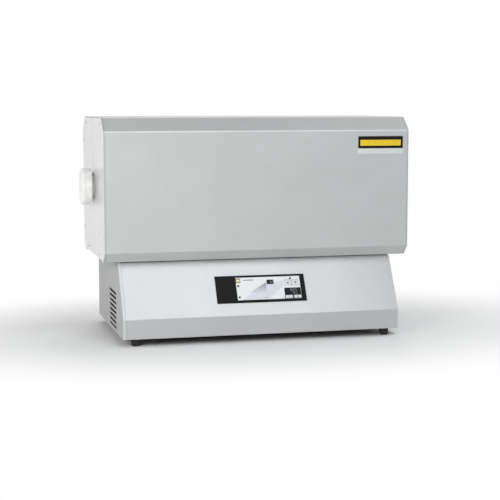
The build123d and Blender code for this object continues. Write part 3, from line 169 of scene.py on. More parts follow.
class FurnacePlugs(bpy.types.PropertyGroup):
    colour: FloatVectorProperty(
        name="Fibre colour",
        description="Moulded fibre of the end plugs",
        subtype="COLOR",
        size=3,
        min=0.0,
        max=1.0,
        default=(0.90, 0.895, 0.88),
    )
    edge: FloatProperty(
        name="Edge radius",
        description="Rounding of the plug's outer rim",
        default=3 * MM,
        min=0.5 * MM,
        max=8 * MM,
        unit="LENGTH",
    )
    roughening: FloatProperty(
        name="Roughening",
        description="Height of the lumps in the moulded surface",
        default=0.22 * MM,
        min=0.0,
        max=1 * MM,
        unit="LENGTH",
    )


class FurnaceController(bpy.types.PropertyGroup):
    upper_number: IntProperty(
        name="Upper number", description="Number in the display's upper row", default=825, min=0
    )
    lower_number: IntProperty(
        name="Lower number", description="Number in the display's lower row", default=900, min=0
    )
    ink: FloatProperty(
        name="Ink thickness",
        description="Thickness of what is printed on the foil",
        default=0.04 * MM,
        min=0.01 * MM,
        max=0.2 * MM,
        unit="LENGTH",
    )


class FurnaceStage(bpy.types.PropertyGroup):
    camera_place: FloatVectorProperty(
        name="Camera place",
        description="Where the camera stands",
        subtype="TRANSLATION",
        size=3,
        default=(-0.69521, -2.76919, 0.49558),
    )
    camera_pitch: FloatProperty(
        name="Camera pitch",
        description="How far the camera looks down",
        default=math.radians(6.49775),
        subtype="ANGLE",
    )
    camera_turn: FloatProperty(
        name="Camera turn",
        description="How far the camera turns to the right",
        default=math.radians(14.37543),
        subtype="ANGLE",
    )
    camera_lens: FloatProperty(
        name="Lens", description="Focal length on a 36 mm sensor", default=94.562, unit="CAMERA"
    )
    room_light: FloatProperty(
        name="Room light", description="Even light from all round", default=0.13, min=0.0
    )
    floor_size: FloatProperty(
        name="Floor radius", description="Radius of the floor", default=6.0, unit="LENGTH"
    )


# Surfaces


def grid_faces(rows, columns, start=0):
    """Four-cornered faces between neighbouring rows of points, each row a closed ring."""
    row, column = np.meshgrid(np.arange(rows - 1), np.arange(columns), indexing="ij")
    following = (column + 1) % columns
    quads = np.stack(
        [
            row * columns + column,
            row * columns + following,
            (row + 1) * columns + following,
            (row + 1) * columns + column,
        ],
        axis=-1,
    )
    return quads.reshape(-1, 4) + start


def rounded_path(points, radii, steps=6):
    """Corners of a path replaced by arcs.

    Each arc touches both legs at radius / tan(half the corner's angle) from the corner, and its
    points turn evenly about the centre that lies on the corner's bisector.
    """
    points = np.asarray(points, float)
    path = [points[0]]
    for before, corner, after, radius in zip(points[:-2], points[1:-1], points[2:], radii):
        arrive = (before - corner) / np.linalg.norm(before - corner)
        leave = (after - corner) / np.linalg.norm(after - corner)
        half = math.acos(float(np.clip(arrive @ leave, -1, 1))) / 2
        if radius <= 0 or half > math.radians(89):
            path.append(corner)
            continue
        bisector = (arrive + leave) / np.linalg.norm(arrive + leave)
        centre = corner + bisector * radius / math.sin(half)
        first = corner + arrive * radius / math.tan(half) - centre
        last = corner + leave * radius / math.tan(half) - centre
        share = np.linspace(0, 1, steps + 1)[:, None]
        sweep = math.pi - 2 * half
        arc = (np.sin((1 - share) * sweep) * first + np.sin(share * sweep) * last) / math.sin(sweep)
        path.extend(centre + arc)
    path.append(points[-1])
    return np.array(path)


def turned(profile, origin, out, across, around=96, ripple=0.0, seed=1):
    """Turned surface: each point of a profile of (radius, height) goes round the axis.

    A point at angle t is origin + height * out + radius * (cos t * across + sin t * third axis).
    With a ripple, the radius and the height gain a sum of waves in t and along the profile.
    """
    profile = np.asarray(profile, float)
    out, across = np.asarray(out, float), np.asarray(across, float)
    third = np.cross(out, across)
    angle = np.linspace(0, 2 * math.pi, around, endpoint=False)
    radius = np.repeat(profile[:, :1], around, axis=1)
    height = np.repeat(profile[:, 1:], around, axis=1)
    if ripple:
        step = np.r_[0, np.cumsum(np.linalg.norm(np.diff(profile, axis=0), axis=1))]
        wave = lumps(step, angle, seed)
        fade = np.clip(profile[:, :1] / (6 * MM), 0, 1)
        height = height + ripple * wave * fade
        radius = radius + ripple * np.roll(wave, 7, axis=1) * fade
    points = (
        np.asarray(origin, float)
        + height[..., None] * out
        + radius[..., None] * (np.cos(angle)[:, None] * across + np.sin(angle)[:, None] * third)
    )
    return points


def lumps(along, angle, seed, waves=26):
    """Uneven heights from -1 to 1: a sum of waves whose counts and phases come from a fixed seed."""
    random = np.random.default_rng(seed)
    total = np.zeros((len(along), len(angle)))
    for _ in range(waves):
        turns = random.integers(3, 34)
        length = random.uniform(5, 26) * MM
        phase = random.uniform(0, 2 * math.pi)
        total += np.sin(turns * angle[None, :] + 2 * math.pi * along[:, None] / length + phase)
    return total / math.sqrt(waves) / 1.6


def close_turned(name, points):
    """Closes a turned grid whose first and last rows meet the axis."""
    rows, columns, _ = points.shape
    body = points[1:-1].reshape(-1, 3)
    ends = np.array([points[0, 0], points[-1, 0]])
    faces = grid_faces(rows - 2, columns).tolist()
    first, last = len(body), len(body) + 1
    start = (rows - 3) * columns
    ring = np.arange(columns)
    following = (ring + 1) % columns
    fans = np.stack([np.full(columns, first), following, ring], axis=-1).tolist()
    fans += np.stack([np.full(columns, last), start + ring, start + following], axis=-1).tolist()
    mesh = bpy.data.meshes.new(name)
    mesh.from_pydata(np.vstack([body, ends]).tolist(), [], faces + fans)
    mesh.update()
    face_outwards(mesh)
    mesh.shade_smooth()
    obj = bpy.data.objects.new(name, mesh)
    bpy.context.scene.collection.objects.link(obj)
    return obj


def face_outwards(mesh):
    """Turns every closed shell of a mesh the right way round."""
    work = bmesh.new()
    work.from_mesh(mesh)
    bmesh.ops.recalc_face_normals(work, faces=work.faces)
    work.to_mesh(mesh)
    work.free()


def join_parts(name, parts, smooth=True):
    """One mesh from several (points, faces) pairs."""
    points, faces, start = [], [], 0
    for part_points, part_faces in parts:
        points.append(part_points)
        faces.extend([[index + start for index in face] for face in part_faces])
        start += len(part_points)
    mesh = bpy.data.meshes.new(name)
    mesh.from_pydata(np.vstack(points).tolist(), [], faces)
    mesh.update()
    face_outwards(mesh)
    mesh.shade_smooth() if smooth else mesh.shade_flat()
    obj = bpy.data.objects.new(name, mesh)
    bpy.context.scene.collection.objects.link(obj)
    return obj


def sharpen(obj, angle=35.0):
    """Keeps edges crisp where two faces meet at more than an angle."""
    obj.data.set_sharp_from_angle(angle=math.radians(angle))
    return obj


def slab(outline, origin, right, up, out, low, high, edge=0.0):
    """Thin plate with a given outline: its rim runs from a low to a high level.

    The top ring is drawn in by the edge's width, so that the rim has a small bevel.
    """
    outline = np.asarray(outline, float)
    centre = outline.mean(axis=0)
    reach = np.linalg.norm(outline - centre, axis=1, keepdims=True)
    inner = centre + (outline - centre) * np.clip(1 - edge / np.maximum(reach, edge + 1e-9), 0, 1)
    rings = [(outline, low), (outline, high - edge), (inner, high)]
    points = [
        origin + ring[:, :1] * right + ring[:, 1:] * up + level * out for ring, level in rings
    ]
    count = len(outline)
    faces = grid_faces(len(rings), count).tolist()
    top = (len(rings) - 1) * count + np.arange(count)
    faces.append(top.tolist())
    faces.append(np.arange(count)[::-1].tolist())
    return np.vstack(points), faces


def rounded_rectangle(width, height, radius, centre=(0.0, 0.0), steps=5):
    """Outline of a rectangle with round corners: a quarter circle about each corner's centre."""
    radius = max(radius, 1e-6)
    quarter = np.linspace(0, math.pi / 2, steps + 1)
    outline = []
    for index, (sx, sy) in enumerate(((1, 1), (-1, 1), (-1, -1), (1, -1))):
        angle = quarter + index * math.pi / 2
        corner = np.array([sx * (width / 2 - radius), sy * (height / 2 - radius)])
        outline.append(corner + radius * np.stack([np.cos(angle), np.sin(angle)], axis=-1))
    return np.vstack(outline) + np.asarray(centre)


def disc(radius, centre=(0.0, 0.0), count=24):
    """Outline of a circle."""
    angle = np.linspace(0, 2 * math.pi, count, endpoint=False)
    return np.stack([np.cos(angle), np.sin(angle)], axis=-1) * radius + np.asarray(centre)


def on_face(outlines, low, high, edge=0.0):
    """Thin plates on the controller's face, from outlines in millimetres on that face."""
    return [
        slab(
            np.asarray(outline) * MM, FACE_ORIGIN, FACE_RIGHT, FACE_UP, FACE_OUT, low, high, edge
        )
        for outline in outlines
    ]


# Finishes


class Finish:
    """Node-based finish that reads Object coordinates, with a principled shader at its end."""

    def __init__(self, name, roughness=0.5, metallic=0.0):
        self.material = bpy.data.materials.new(name)
        self.material.use_nodes = True
        self.nodes = self.material.node_tree.nodes
        self.links = self.material.node_tree.links
        self.shader = self.nodes["Principled BSDF"]
        self.shader.inputs["Roughness"].default_value = roughness
        self.shader.inputs["Metallic"].default_value = metallic
        self.place = self.nodes.new("ShaderNodeTexCoord").outputs["Object"]
        self.normal = None
        self.tone = None

    def link(self, source, target):
        self.links.new(source, target)
        return self

    def stretched(self, scale):
        """Object coordinates scaled for one pattern."""
        mapping = self.nodes.new("ShaderNodeMapping")
        mapping.inputs["Scale"].default_value = scale
        self.link(self.place, mapping.inputs["Vector"])
        return mapping.outputs["Vector"]

    def noise(self, size, detail=3.0, roughness=0.5, place=None, distortion=0.0):
        """Cloudy pattern whose patches are about one size across."""
        node = self.nodes.new("ShaderNodeTexNoise")
        node.inputs["Scale"].default_value = 1 / size
        node.inputs["Detail"].default_value = detail
        node.inputs["Roughness"].default_value = roughness
        node.inputs["Distortion"].default_value = distortion
        self.link(place or self.place, node.inputs["Vector"])
        return node.outputs["Fac"]

    def cells(self, size):
        """Pattern of cells about one size across."""
        node = self.nodes.new("ShaderNodeTexVoronoi")
        node.inputs["Scale"].default_value = 1 / size
        self.link(self.place, node.inputs["Vector"])
        return node.outputs["Distance"]

    def span(self, value, low, high, start=0.0, end=1.0):
        """Smooth change from one number to another as a value goes from start to end."""
        node = self.nodes.new("ShaderNodeMapRange")
        node.interpolation_type = "SMOOTHSTEP"
        node.inputs["From Min"].default_value = start
        node.inputs["From Max"].default_value = end
        node.inputs["To Min"].default_value = low
        node.inputs["To Max"].default_value = high
        self.link(value, node.inputs["Value"])
        return node.outputs["Result"]

    def maths(self, operation, first, second=None):
        """One arithmetic step on two values, each a socket or a number."""
        node = self.nodes.new("ShaderNodeMath")
        node.operation = operation
        for socket, value in zip(node.inputs, (first, second)):
            if value is None:
                continue
            if isinstance(value, (int, float)):
                socket.default_value = value
            else:
                self.link(value, socket)
        return node.outputs["Value"]

    def axis(self, which):
        """One of the object's X, Y and Z coordinates."""
        node = self.nodes.new("ShaderNodeSeparateXYZ")
        self.link(self.place, node.inputs["Vector"])
        return node.outputs[which]

    def blend(self, share, first, second):
        """Mix of two colours, each a socket or a colour."""
        node = self.nodes.new("ShaderNodeMix")
        node.data_type = "RGBA"
        self.link(share, node.inputs["Factor"])
        for socket, value in ((node.inputs[6], first), (node.inputs[7], second)):
            if isinstance(value, (tuple, list)):
                socket.default_value = (*value[:3], 1.0)
            else:
                self.link(value, socket)
        return node.outputs[2]

    def colour(self, socket):
        self.tone = socket
        self.link(socket, self.shader.inputs["Base Color"])
        return self

    def shade(self, share, factor):
        """Colour multiplied by a factor wherever a share is one."""
        scaled = self.nodes.new("ShaderNodeVectorMath")
        scaled.operation = "SCALE"
        scaled.inputs["Scale"].default_value = factor
        self.link(self.tone, scaled.inputs[0])
        return self.colour(self.blend(share, self.tone, scaled.outputs["Vector"]))

    def across(self, start, end):
        """Smooth step in how far a point lies to either side of the middle."""
        return self.span(self.maths("ABSOLUTE", self.axis("X")), 0.0, 1.0, start, end)

    def bump(self, height, depth, strength=1.0):
        """Adds one layer of relief, in metres of depth."""
        node = self.nodes.new("ShaderNodeBump")
        node.inputs["Distance"].default_value = depth
        node.inputs["Strength"].default_value = strength
        self.link(height, node.inputs["Height"])
        if self.normal is not None:
            self.link(self.normal, node.inputs["Normal"])
        self.normal = node.outputs["Normal"]
        self.link(self.normal, self.shader.inputs["Normal"])
        return self


def tones(colour, spread):
    """A darker and a lighter tone of one colour."""
    dark = tuple(channel * (1 - spread) for channel in colour)
    light = tuple(min(1.0, channel * (1 + spread)) for channel in colour)
    return dark, light


def powder_coat(name, colour, grain, roughness, shine=0.5):
    """Fine-grained powder coat: tiny even relief, faint clouds of tone and of gloss."""
    finish = Finish(name, roughness)
    dark, light = tones(colour, 0.022)
    speck = finish.noise(grain, detail=2.0, roughness=0.6)
    cloud = finish.noise(90 * MM, detail=2.0)
    toned = finish.blend(finish.span(cloud, 0, 1, 0.3, 0.7), dark, light)
    pale = finish.span(speck, 0.0, 0.16, 0.55, 0.85)
    finish.colour(finish.blend(pale, toned, tuple(min(1.0, c * 1.12) for c in colour)))
    finish.gloss = finish.span(speck, roughness - 0.05, roughness + 0.07, 0.3, 0.7)
    finish.link(finish.gloss, finish.shader.inputs["Roughness"])
    finish.shader.inputs["Coat Weight"].default_value = shine
    finish.shader.inputs["Coat Roughness"].default_value = 0.22
    finish.bump(speck, 0.05 * MM, 0.3)
    finish.bump(finish.noise(4 * grain, detail=1.0), 0.10 * MM, 0.2)
    return finish


# Shares of its own tone that a coat has on one part of a sheet.
# Tone on the hood's flanges is painted sheen, in place of a coat reflection.
# Tone round the air slots is painted shade.
FLANGE_SHEEN, WALL_TONE, SLOT_SHADE = 1.26, 0.86, 0.35
# Tone on the top chamfers is painted shade, and on their bends a painted highlight.
CHAMFER_SHADE, BEND_HIGHLIGHT, EDGE_TONE = 0.80, 1.36, 0.84
# Tone along the end panels' seam is painted shade in the gap between the halves.
SEAM_SHADE = 0.62
WALL_DULLNESS = 0.44
# Band of painted shade round an air slot, as distances from the middle between two slots in slot
# spacings.
SLOT_SHADE_BAND = 0.27, 0.33


def hood_coat(name, colour, grain, roughness):
    """Coat of the base's hood: lighter on the flanges beside the slope with painted sheen, in place of
    the front panel's coat reflection, and dull on the side walls.

    The walls' coat also carries painted shade in a thin band round each air slot. A band is where the
    height, counted in slots, is about a quarter from a whole number, within the slots' length.
    """
    finish = powder_coat(name, colour, grain, roughness, 0.0)
    finish.shader.inputs["Specular IOR Level"].default_value = 1.0
    wall = finish.across(BASE_HIGH[0] - 1.6 * MM, BASE_HIGH[0] - 0.9 * MM)
    rough = finish.maths("ADD", finish.gloss, finish.maths("MULTIPLY", wall, WALL_DULLNESS))
    finish.link(rough, finish.shader.inputs["Roughness"])
    # Painted sheen: the flanges lighter, in place of the front panel's coat reflection.
    finish.shade(finish.maths("SUBTRACT", 1.0, wall), FLANGE_SHEEN)
    finish.shade(wall, WALL_TONE)
    # Painted shade in a thin band round each air slot, on the side walls only.
    level = finish.maths("SUBTRACT", finish.axis("Z"), SLOT_LOWEST)
    count = finish.maths("DIVIDE", level, SLOT_PITCH)
    near = finish.span(finish.maths("PINGPONG", count, 0.5), 1.0, 0.0, *SLOT_SHADE_BAND)
    beyond = finish.maths("ABSOLUTE", finish.maths("SUBTRACT", finish.axis("Y"), SLOT_MIDDLE))
    length = finish.span(beyond, 1.0, 0.0, SLOT_LENGTH / 2, SLOT_LENGTH / 2 + 0.8 * MM)
    middle_slot = (SLOT_COUNT - 1) / 2
    rows = finish.maths("ABSOLUTE", finish.maths("SUBTRACT", count, middle_slot))
    inside = finish.maths("LESS_THAN", rows, SLOT_COUNT / 2)
    share = finish.maths("MULTIPLY", finish.maths("MULTIPLY", near, length), inside)
    finish.shade(finish.maths("MULTIPLY", share, wall), SLOT_SHADE)
    return finish


def wrap_coat(name, colour, grain, roughness):
    """Coat of the housing's wrap: darker with painted shade on the top chamfers, and lighter with a
    painted highlight on their bends.

    A bend's share falls from one to nothing with the distance, across the housing's section, from
    the corner that its two flats would meet in. The section is the same to the front and rear of
    the tube's axis. The coat is darker too in a narrow strip along the cut edges.
    """
    finish = powder_coat(name, colour, grain, roughness, 0.0)
    depth = finish.maths("ABSOLUTE", finish.maths("SUBTRACT", finish.axis("Y"), AXIS[1]))
    height = finish.axis("Z")
    half = (HOUSING_HIGH[1] - HOUSING_LOW[1]) / 2
    inner, lower = half - TOP_CHAMFER[0], HOUSING_HIGH[2] - TOP_CHAMFER[1]
    # Painted shade on the top chamfers, above their lower edge and outside their inner edge.
    above = finish.span(height, 0.0, 1.0, lower, lower + 1.5 * MM)
    outside = finish.span(depth, 0.0, 1.0, inner, inner + 1.5 * MM)
    finish.shade(finish.maths("MULTIPLY", above, outside), CHAMFER_SHADE)
    # Painted highlight along each of the two top bends.
    for corner_depth, corner_height in ((half, lower), (inner, HOUSING_HIGH[2])):
        to_front = finish.maths("SUBTRACT", depth, corner_depth)
        to_top = finish.maths("SUBTRACT", height, corner_height)
        squares = [
            finish.maths("POWER", finish.maths("ABSOLUTE", way), 2.0) for way in (to_front, to_top)
        ]
        away = finish.maths("SQRT", finish.maths("ADD", *squares))
        finish.shade(finish.span(away, 1.0, 0.0, 0.6 * MM, 2.3 * MM), BEND_HIGHLIGHT)
    edge_strip = finish.across(HOUSING_HIGH[0] - 4.5 * MM, HOUSING_HIGH[0] - 3.0 * MM)
    finish.shade(edge_strip, EDGE_TONE)
    return finish


def panel_coat(name, colour, grain, roughness):
    """Coat of the end panels, with painted shade along the seam between their halves."""
    finish = powder_coat(name, colour, grain, roughness)
    away = finish.maths("ABSOLUTE", finish.maths("SUBTRACT", finish.axis("Y"), AXIS[1]))
    # Painted shade along the seam.
    finish.shade(finish.span(away, 1.0, 0.0, 0.5 * MM, 2.2 * MM), SEAM_SHADE)
    return finish


def moulded_fibre(name, colour):
    """Vacuum-formed ceramic fibre: matt, with short fibres, pits darkened with painted shade, and a
    few dusty patches.
    """
    finish = Finish(name, 0.95)
    dark, light = tones(colour, 0.06)
    fibres = finish.noise(1.6 * MM, detail=5.0, roughness=0.7, distortion=1.5)
    patches = finish.noise(14 * MM, detail=3.0)
    pits = finish.cells(3.2 * MM)
    tone = finish.blend(finish.span(patches, 0, 1, 0.35, 0.65), dark, light)
    # Painted shade: the pits darker than the fibre round them.
    pit_shade = finish.span(pits, 0.20, 0.0, 0.0, 0.28)
    shade = tuple(channel * 0.80 for channel in colour)
    finish.colour(finish.blend(pit_shade, tone, shade))
    finish.bump(fibres, 0.35 * MM, 0.7)
    finish.bump(pits, 0.25 * MM, 0.35)
    return finish.material


def plain_finish(name, colour, size, roughness, relief, spread=0.05, metallic=0.0):
    """One mottled colour with a fine relief and a little change of gloss."""
    finish = Finish(name, roughness, metallic)
    dark, light = tones(colour, spread)
    pattern = finish.noise(size, detail=3.0)
    wide = finish.noise(size * 14, detail=2.0)
    finish.colour(finish.blend(finish.span(wide, 0, 1, 0.3, 0.7), dark, light))
    low, high = max(0.0, roughness - 0.06), min(1.0, roughness + 0.08)
    finish.link(finish.span(pattern, low, high, 0.3, 0.7), finish.shader.inputs["Roughness"])
    finish.bump(pattern, relief, 0.5)
    return finish


def brushed_metal(name, colour, roughness, direction=(1, 1, 30), metallic=1.0):
    """Metal with fine lines drawn along one axis."""
    finish = Finish(name, roughness, metallic)
    dark, light = tones(colour, 0.08)
    lines = finish.noise(30 * MM, detail=4.0, roughness=0.7, place=finish.stretched(direction))
    finish.colour(finish.blend(finish.span(lines, 0, 1, 0.3, 0.7), dark, light))
    finish.link(
        finish.span(lines, roughness - 0.08, roughness + 0.10, 0.3, 0.7),
        finish.shader.inputs["Roughness"],
    )
    finish.bump(lines, 0.02 * MM, 0.3)
    return finish.material


def zinc_plate(name, dark, light):
    """Zinc-plated sheet with its crystal flowers."""
    finish = Finish(name, 0.42, 1.0)
    flowers = finish.cells(9 * MM)
    fine = finish.noise(0.8 * MM, detail=2.0)
    finish.colour(finish.blend(finish.span(flowers, 0, 1, 0.1, 0.8), dark, light))
    finish.link(finish.span(flowers, 0.34, 0.52, 0.1, 0.8), finish.shader.inputs["Roughness"])
    finish.bump(fine, 0.02 * MM, 0.3)
    return finish.material


def glazed_ceramic(name):
    """Dense alumina: cream white, slightly glossy, with faint rings round the tube."""
    finish = Finish(name, 0.30)
    rings = finish.noise(40 * MM, detail=3.0, place=finish.stretched((9, 1, 1)))
    specks = finish.noise(1.2 * MM, detail=2.0)
    tone = finish.blend(
        finish.span(rings, 0, 1, 0.3, 0.7), (0.84, 0.825, 0.78), (0.88, 0.87, 0.84)
    )
    finish.colour(finish.blend(finish.span(specks, 0.0, 0.5, 0.68, 0.80), tone, (0.55, 0.48, 0.38)))
    finish.link(finish.span(specks, 0.24, 0.40, 0.3, 0.7), finish.shader.inputs["Roughness"])
    finish.bump(specks, 0.02 * MM, 0.4)
    return finish.material


def fibre_board(name):
    """Pressed fibre board of the insulation: soft white with layers and loose fibres."""
    finish = Finish(name, 0.95)
    layers = finish.noise(60 * MM, detail=4.0, roughness=0.7, place=finish.stretched((1, 1, 10)))
    fibres = finish.noise(2.2 * MM, detail=5.0, roughness=0.7, distortion=1.2)
    finish.colour(
        finish.blend(finish.span(layers, 0, 1, 0.3, 0.7), (0.76, 0.73, 0.66), (0.86, 0.84, 0.79))
    )
    finish.bump(fibres, 0.4 * MM, 0.7)
    return finish.material


def resistance_wire(name):
    """Oxidised heating wire: dark grey brown with lighter worn patches."""
    finish = Finish(name, 0.62, 0.55)
    scale_marks = finish.noise(5 * MM, detail=4.0, roughness=0.6)
    finish.colour(
        finish.blend(
            finish.span(scale_marks, 0, 1, 0.35, 0.65), (0.085, 0.07, 0.06), (0.20, 0.175, 0.15)
        )
    )
    finish.bump(scale_marks, 0.05 * MM, 0.5)
    return finish.material


def black_rubber(name):
    """Moulded rubber with a fine skin and a trace of dust."""
    finish = Finish(name, 0.78)
    dust = finish.noise(7 * MM, detail=4.0, roughness=0.65)
    skin = finish.noise(0.7 * MM, detail=2.0)
    finish.colour(
        finish.blend(finish.span(dust, 0, 1, 0.45, 0.85), (0.012, 0.012, 0.013), (0.045, 0.044, 0.042))
    )
    finish.link(finish.span(skin, 0.70, 0.88, 0.3, 0.7), finish.shader.inputs["Roughness"])
    finish.bump(skin, 0.05 * MM, 0.5)
    return finish.material


def grained_plastic(name, colour=(0.014, 0.014, 0.015), roughness=0.42, grain=0.6 * MM, shine=0.5):
    """Moulded plastic with a fine leather grain."""
    finish = Finish(name, roughness)
    finish.shader.inputs["Specular IOR Level"].default_value = shine
    cells = finish.cells(grain)
    cloud = finish.noise(25 * MM, detail=2.0)
    dark, light = tones(colour, 0.14)
    finish.colour(finish.blend(finish.span(cloud, 0, 1, 0.3, 0.7), dark, light))
    finish.link(
        finish.span(cells, roughness - 0.06, roughness + 0.10, 0.1, 0.7),
        finish.shader.inputs["Roughness"],
    )
    finish.bump(cells, 0.03 * MM, 0.35)
    return finish.material


def display_glass(name, colour=(0.006, 0.007, 0.008)):
    """Dark window with a faint smear in its gloss."""
    finish = Finish(name, 0.12)
    finish.shader.inputs["Specular IOR Level"].default_value = 0.06
    smear = finish.noise(12 * MM, detail=3.0, distortion=0.8)
    dark, light = tones(colour, 0.25)
    finish.colour(finish.blend(smear, dark, light))
    finish.link(finish.span(smear, 0.08, 0.22, 0.3, 0.7), finish.shader.inputs["Roughness"])
    finish.bump(smear, 0.01 * MM, 0.2)
    return finish.material


def printed_ink(name, colour, roughness=0.5, spread=0.04, shine=0.3):
    """Screen-printed ink with the mesh's fine texture."""
    finish = plain_finish(name, colour, 0.35 * MM, roughness, 0.01 * MM, spread)
    finish.shader.inputs["Specular IOR Level"].default_value = shine
    return finish.material


def lamp_lens(name, colour, glow=0.0):
    """Small coloured lamp with a cloudy body."""
    finish = Finish(name, 0.28)
    cloud = finish.noise(1.5 * MM, detail=2.0)
    dark, light = tones(colour, 0.10)
    toned = finish.blend(finish.span(cloud, 0, 1, 0.3, 0.7), dark, light)
    finish.colour(toned)
    finish.shader.inputs["Coat Weight"].default_value = 0.4
    if glow:
        finish.link(toned, finish.shader.inputs["Emission Color"])
        finish.shader.inputs["Emission Strength"].default_value = glow
    finish.bump(cloud, 0.03 * MM, 0.3)
    return finish.material


def steel(name, colour=(0.58, 0.58, 0.57), roughness=0.34):
    """Plated steel of screws and small fittings."""
    return plain_finish(name, colour, 0.6 * MM, roughness, 0.01 * MM, 0.08, 1.0).material


def assign(material, *names):
    """Gives nodes or pieces one material, in every slot."""
    for name in names:
        obj = frame["nodes"].get(name) or bpy.data.objects[name]
        obj.data.materials.clear()
        obj.data.materials.append(material)


# Operators, one for each piece or group of like pieces


class FURNACE_OT_paint_housing(bpy.types.Operator):
    """Powder coat on the housing wrap, its end panels, its rear cover and the base"""

    bl_idname = "furnace.paint_housing"
    bl_label = "Paint the housings"

    def execute(self, context):
        paint = context.scene.furnace_paint
        upper, lower = tuple(paint.housing_colour), tuple(paint.base_colour)
        rear = powder_coat("housing_paint", upper, paint.grain, paint.gloss)
        assign(rear.material, "rear_cover")
        wrap = wrap_coat("housing_wrap_paint", upper, paint.grain, paint.gloss)
        assign(wrap.material, "housing_wrap")
        panels = panel_coat("end_panel_paint", upper, paint.grain, paint.gloss - 0.06)
        for side in ("left", "right"):
            assign(panels.material, side + "_end_panel_front", side + "_end_panel_rear")
        front = powder_coat("base_front_paint", lower, paint.grain, paint.gloss, 1.0)
        front.shader.inputs["Specular IOR Level"].default_value = 1.0
        assign(front.material, "front_panel")
        hood = hood_coat("base_hood_paint", lower, paint.grain, paint.gloss)
        assign(hood.material, "base_cover")
        back = powder_coat("base_rear_paint", lower, paint.grain, paint.gloss + 0.1, 0.1)
        assign(back.material, "base_rear_panel")
        return {"FINISHED"}


class FURNACE_OT_finish_inside(bpy.types.Operator):
    """Finishes for what the housings hold: sheet, fibre, elements, wiring and controls"""

    bl_idname = "furnace.finish_inside"
    bl_label = "Finish the inner pieces"

    def execute(self, context):
        assign(
            zinc_plate("zinc_sheet", (0.50, 0.52, 0.54), (0.62, 0.64, 0.65)),
            "housing_tray",
            "liner_supports",
            "left_end_frame",
            "right_end_frame",
        )
        # The base pan is near-black as painted shade, so that the air slots in front of it read dark.
        assign(zinc_plate("zinc_sheet_painted_shade", (0.030, 0.031, 0.034), (0.055, 0.056, 0.058)), "base_pan")
        assign(
            brushed_metal("liner_steel", (0.46, 0.45, 0.43), 0.36, (1, 30, 30)),
            "inner_liner",
            "liner_end_plates",
        )
        assign(fibre_board("insulation_board"), "insulation_lower", "insulation_upper")
        assign(
            moulded_fibre("collar_fibre", (0.88, 0.87, 0.84)), "left_tube_collar", "right_tube_collar"
        )
        assign(resistance_wire("element_wire"), "heater_lower", "heater_upper")
        assign(
            glazed_ceramic("tube_alumina"), "working_tube", "thermocouple_sheath", "heater_bushes"
        )
        assign(
            plain_finish("brass", (0.62, 0.46, 0.20), 0.7 * MM, 0.34, 0.01 * MM, 0.1, 1.0).material,
            "heater_connectors",
        )
        casting = plain_finish(
            "head_casting", (0.50, 0.51, 0.52), 1.1 * MM, 0.55, 0.06 * MM, 0.06, 0.8
        )
        assign(casting.material, "thermocouple_head")
        assign(
            brushed_metal("sink_aluminium", (0.62, 0.63, 0.64), 0.38, (1, 30, 30)), "heat_sink"
        )
        assign(
            grained_plastic("relay_case", (0.16, 0.17, 0.18), 0.45, 0.8 * MM), "solid_state_relay"
        )
        assign(
            grained_plastic("terminal_block", (0.55, 0.53, 0.47), 0.48, 0.8 * MM), "terminal_strip"
        )
        assign(grained_plastic("contactor_case", (0.03, 0.03, 0.032)), "contactor", "controller_body")
        rubber = black_rubber("seal_rubber")
        assign(rubber, "housing_gasket", "cable_grommet", "supply_cable")
        return {"FINISHED"}


class FURNACE_OT_make_plugs(bpy.types.Operator):
    """Moulded fibre plugs with rounded rims and an uneven, hand-dressed surface"""

    bl_idname = "furnace.make_plugs"
    bl_label = "Make the end plugs"

    def execute(self, context):
        settings = context.scene.furnace_plugs
        fibre = moulded_fibre("plug_fibre", tuple(settings.colour))
        for seed, (side, name) in enumerate(((-1, "left_plug"), (1, "right_plug")), start=3):
            plug = self.plug(side, name, settings, seed)
            assign(fibre, plug.name)
            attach(plug, name)
            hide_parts(name)
        return {"FINISHED"}

    def plug(self, side, node, settings, seed):
        """A stem and a wide head turned about the tube's axis, inside the node's own box."""
        low, high = corners(node)
        head_radius = (high[2] - low[2]) / 2
        outer = high[0] if side > 0 else -low[0]
        inner = low[0] if side > 0 else -high[0]
        head_start = outer - HEAD_LENGTH
        stem_radius = STEM_RADIUS
        slack = settings.roughening
        rim = head_radius - slack
        end = outer - slack
        points = [
            (0.0, end),
            (rim * 0.45, end),
            (rim, end),
            (rim, (end + head_start) / 2),
            (rim, head_start + slack),
            (stem_radius + 4 * MM, head_start + slack),
            (stem_radius - slack, head_start + slack),
            (stem_radius - slack, (head_start + inner) / 2),
            (stem_radius - slack, inner + slack),
            (0.0, inner + slack),
        ]
        radii = [0, settings.edge, 0, 1.2 * MM, 0, 0.6 * MM, 0, 3 * MM]
        path = finely_divided(rounded_path(points, radii), 1.5 * MM)
        origin = np.array([0.0, AXIS[1], AXIS[2]])
        grid = turned(
            path, origin, (side, 0, 0), (0, 1, 0), around=192, ripple=slack * 0.55, seed=seed
        )
        return close_turned(node.replace("plug", "fibre_plug"), grid)


def finely_divided(path, step):
    """The same path with points no further apart than a step, spaced evenly on each leg."""
    pieces = [path[:1]]
    for start, end in zip(path[:-1], path[1:]):
        count = max(1, int(math.ceil(np.linalg.norm(end - start) / step)))
        share = np.linspace(0, 1, count + 1)[1:, None]
        pieces.append(start + share * (end - start))
    return np.vstack(pieces)


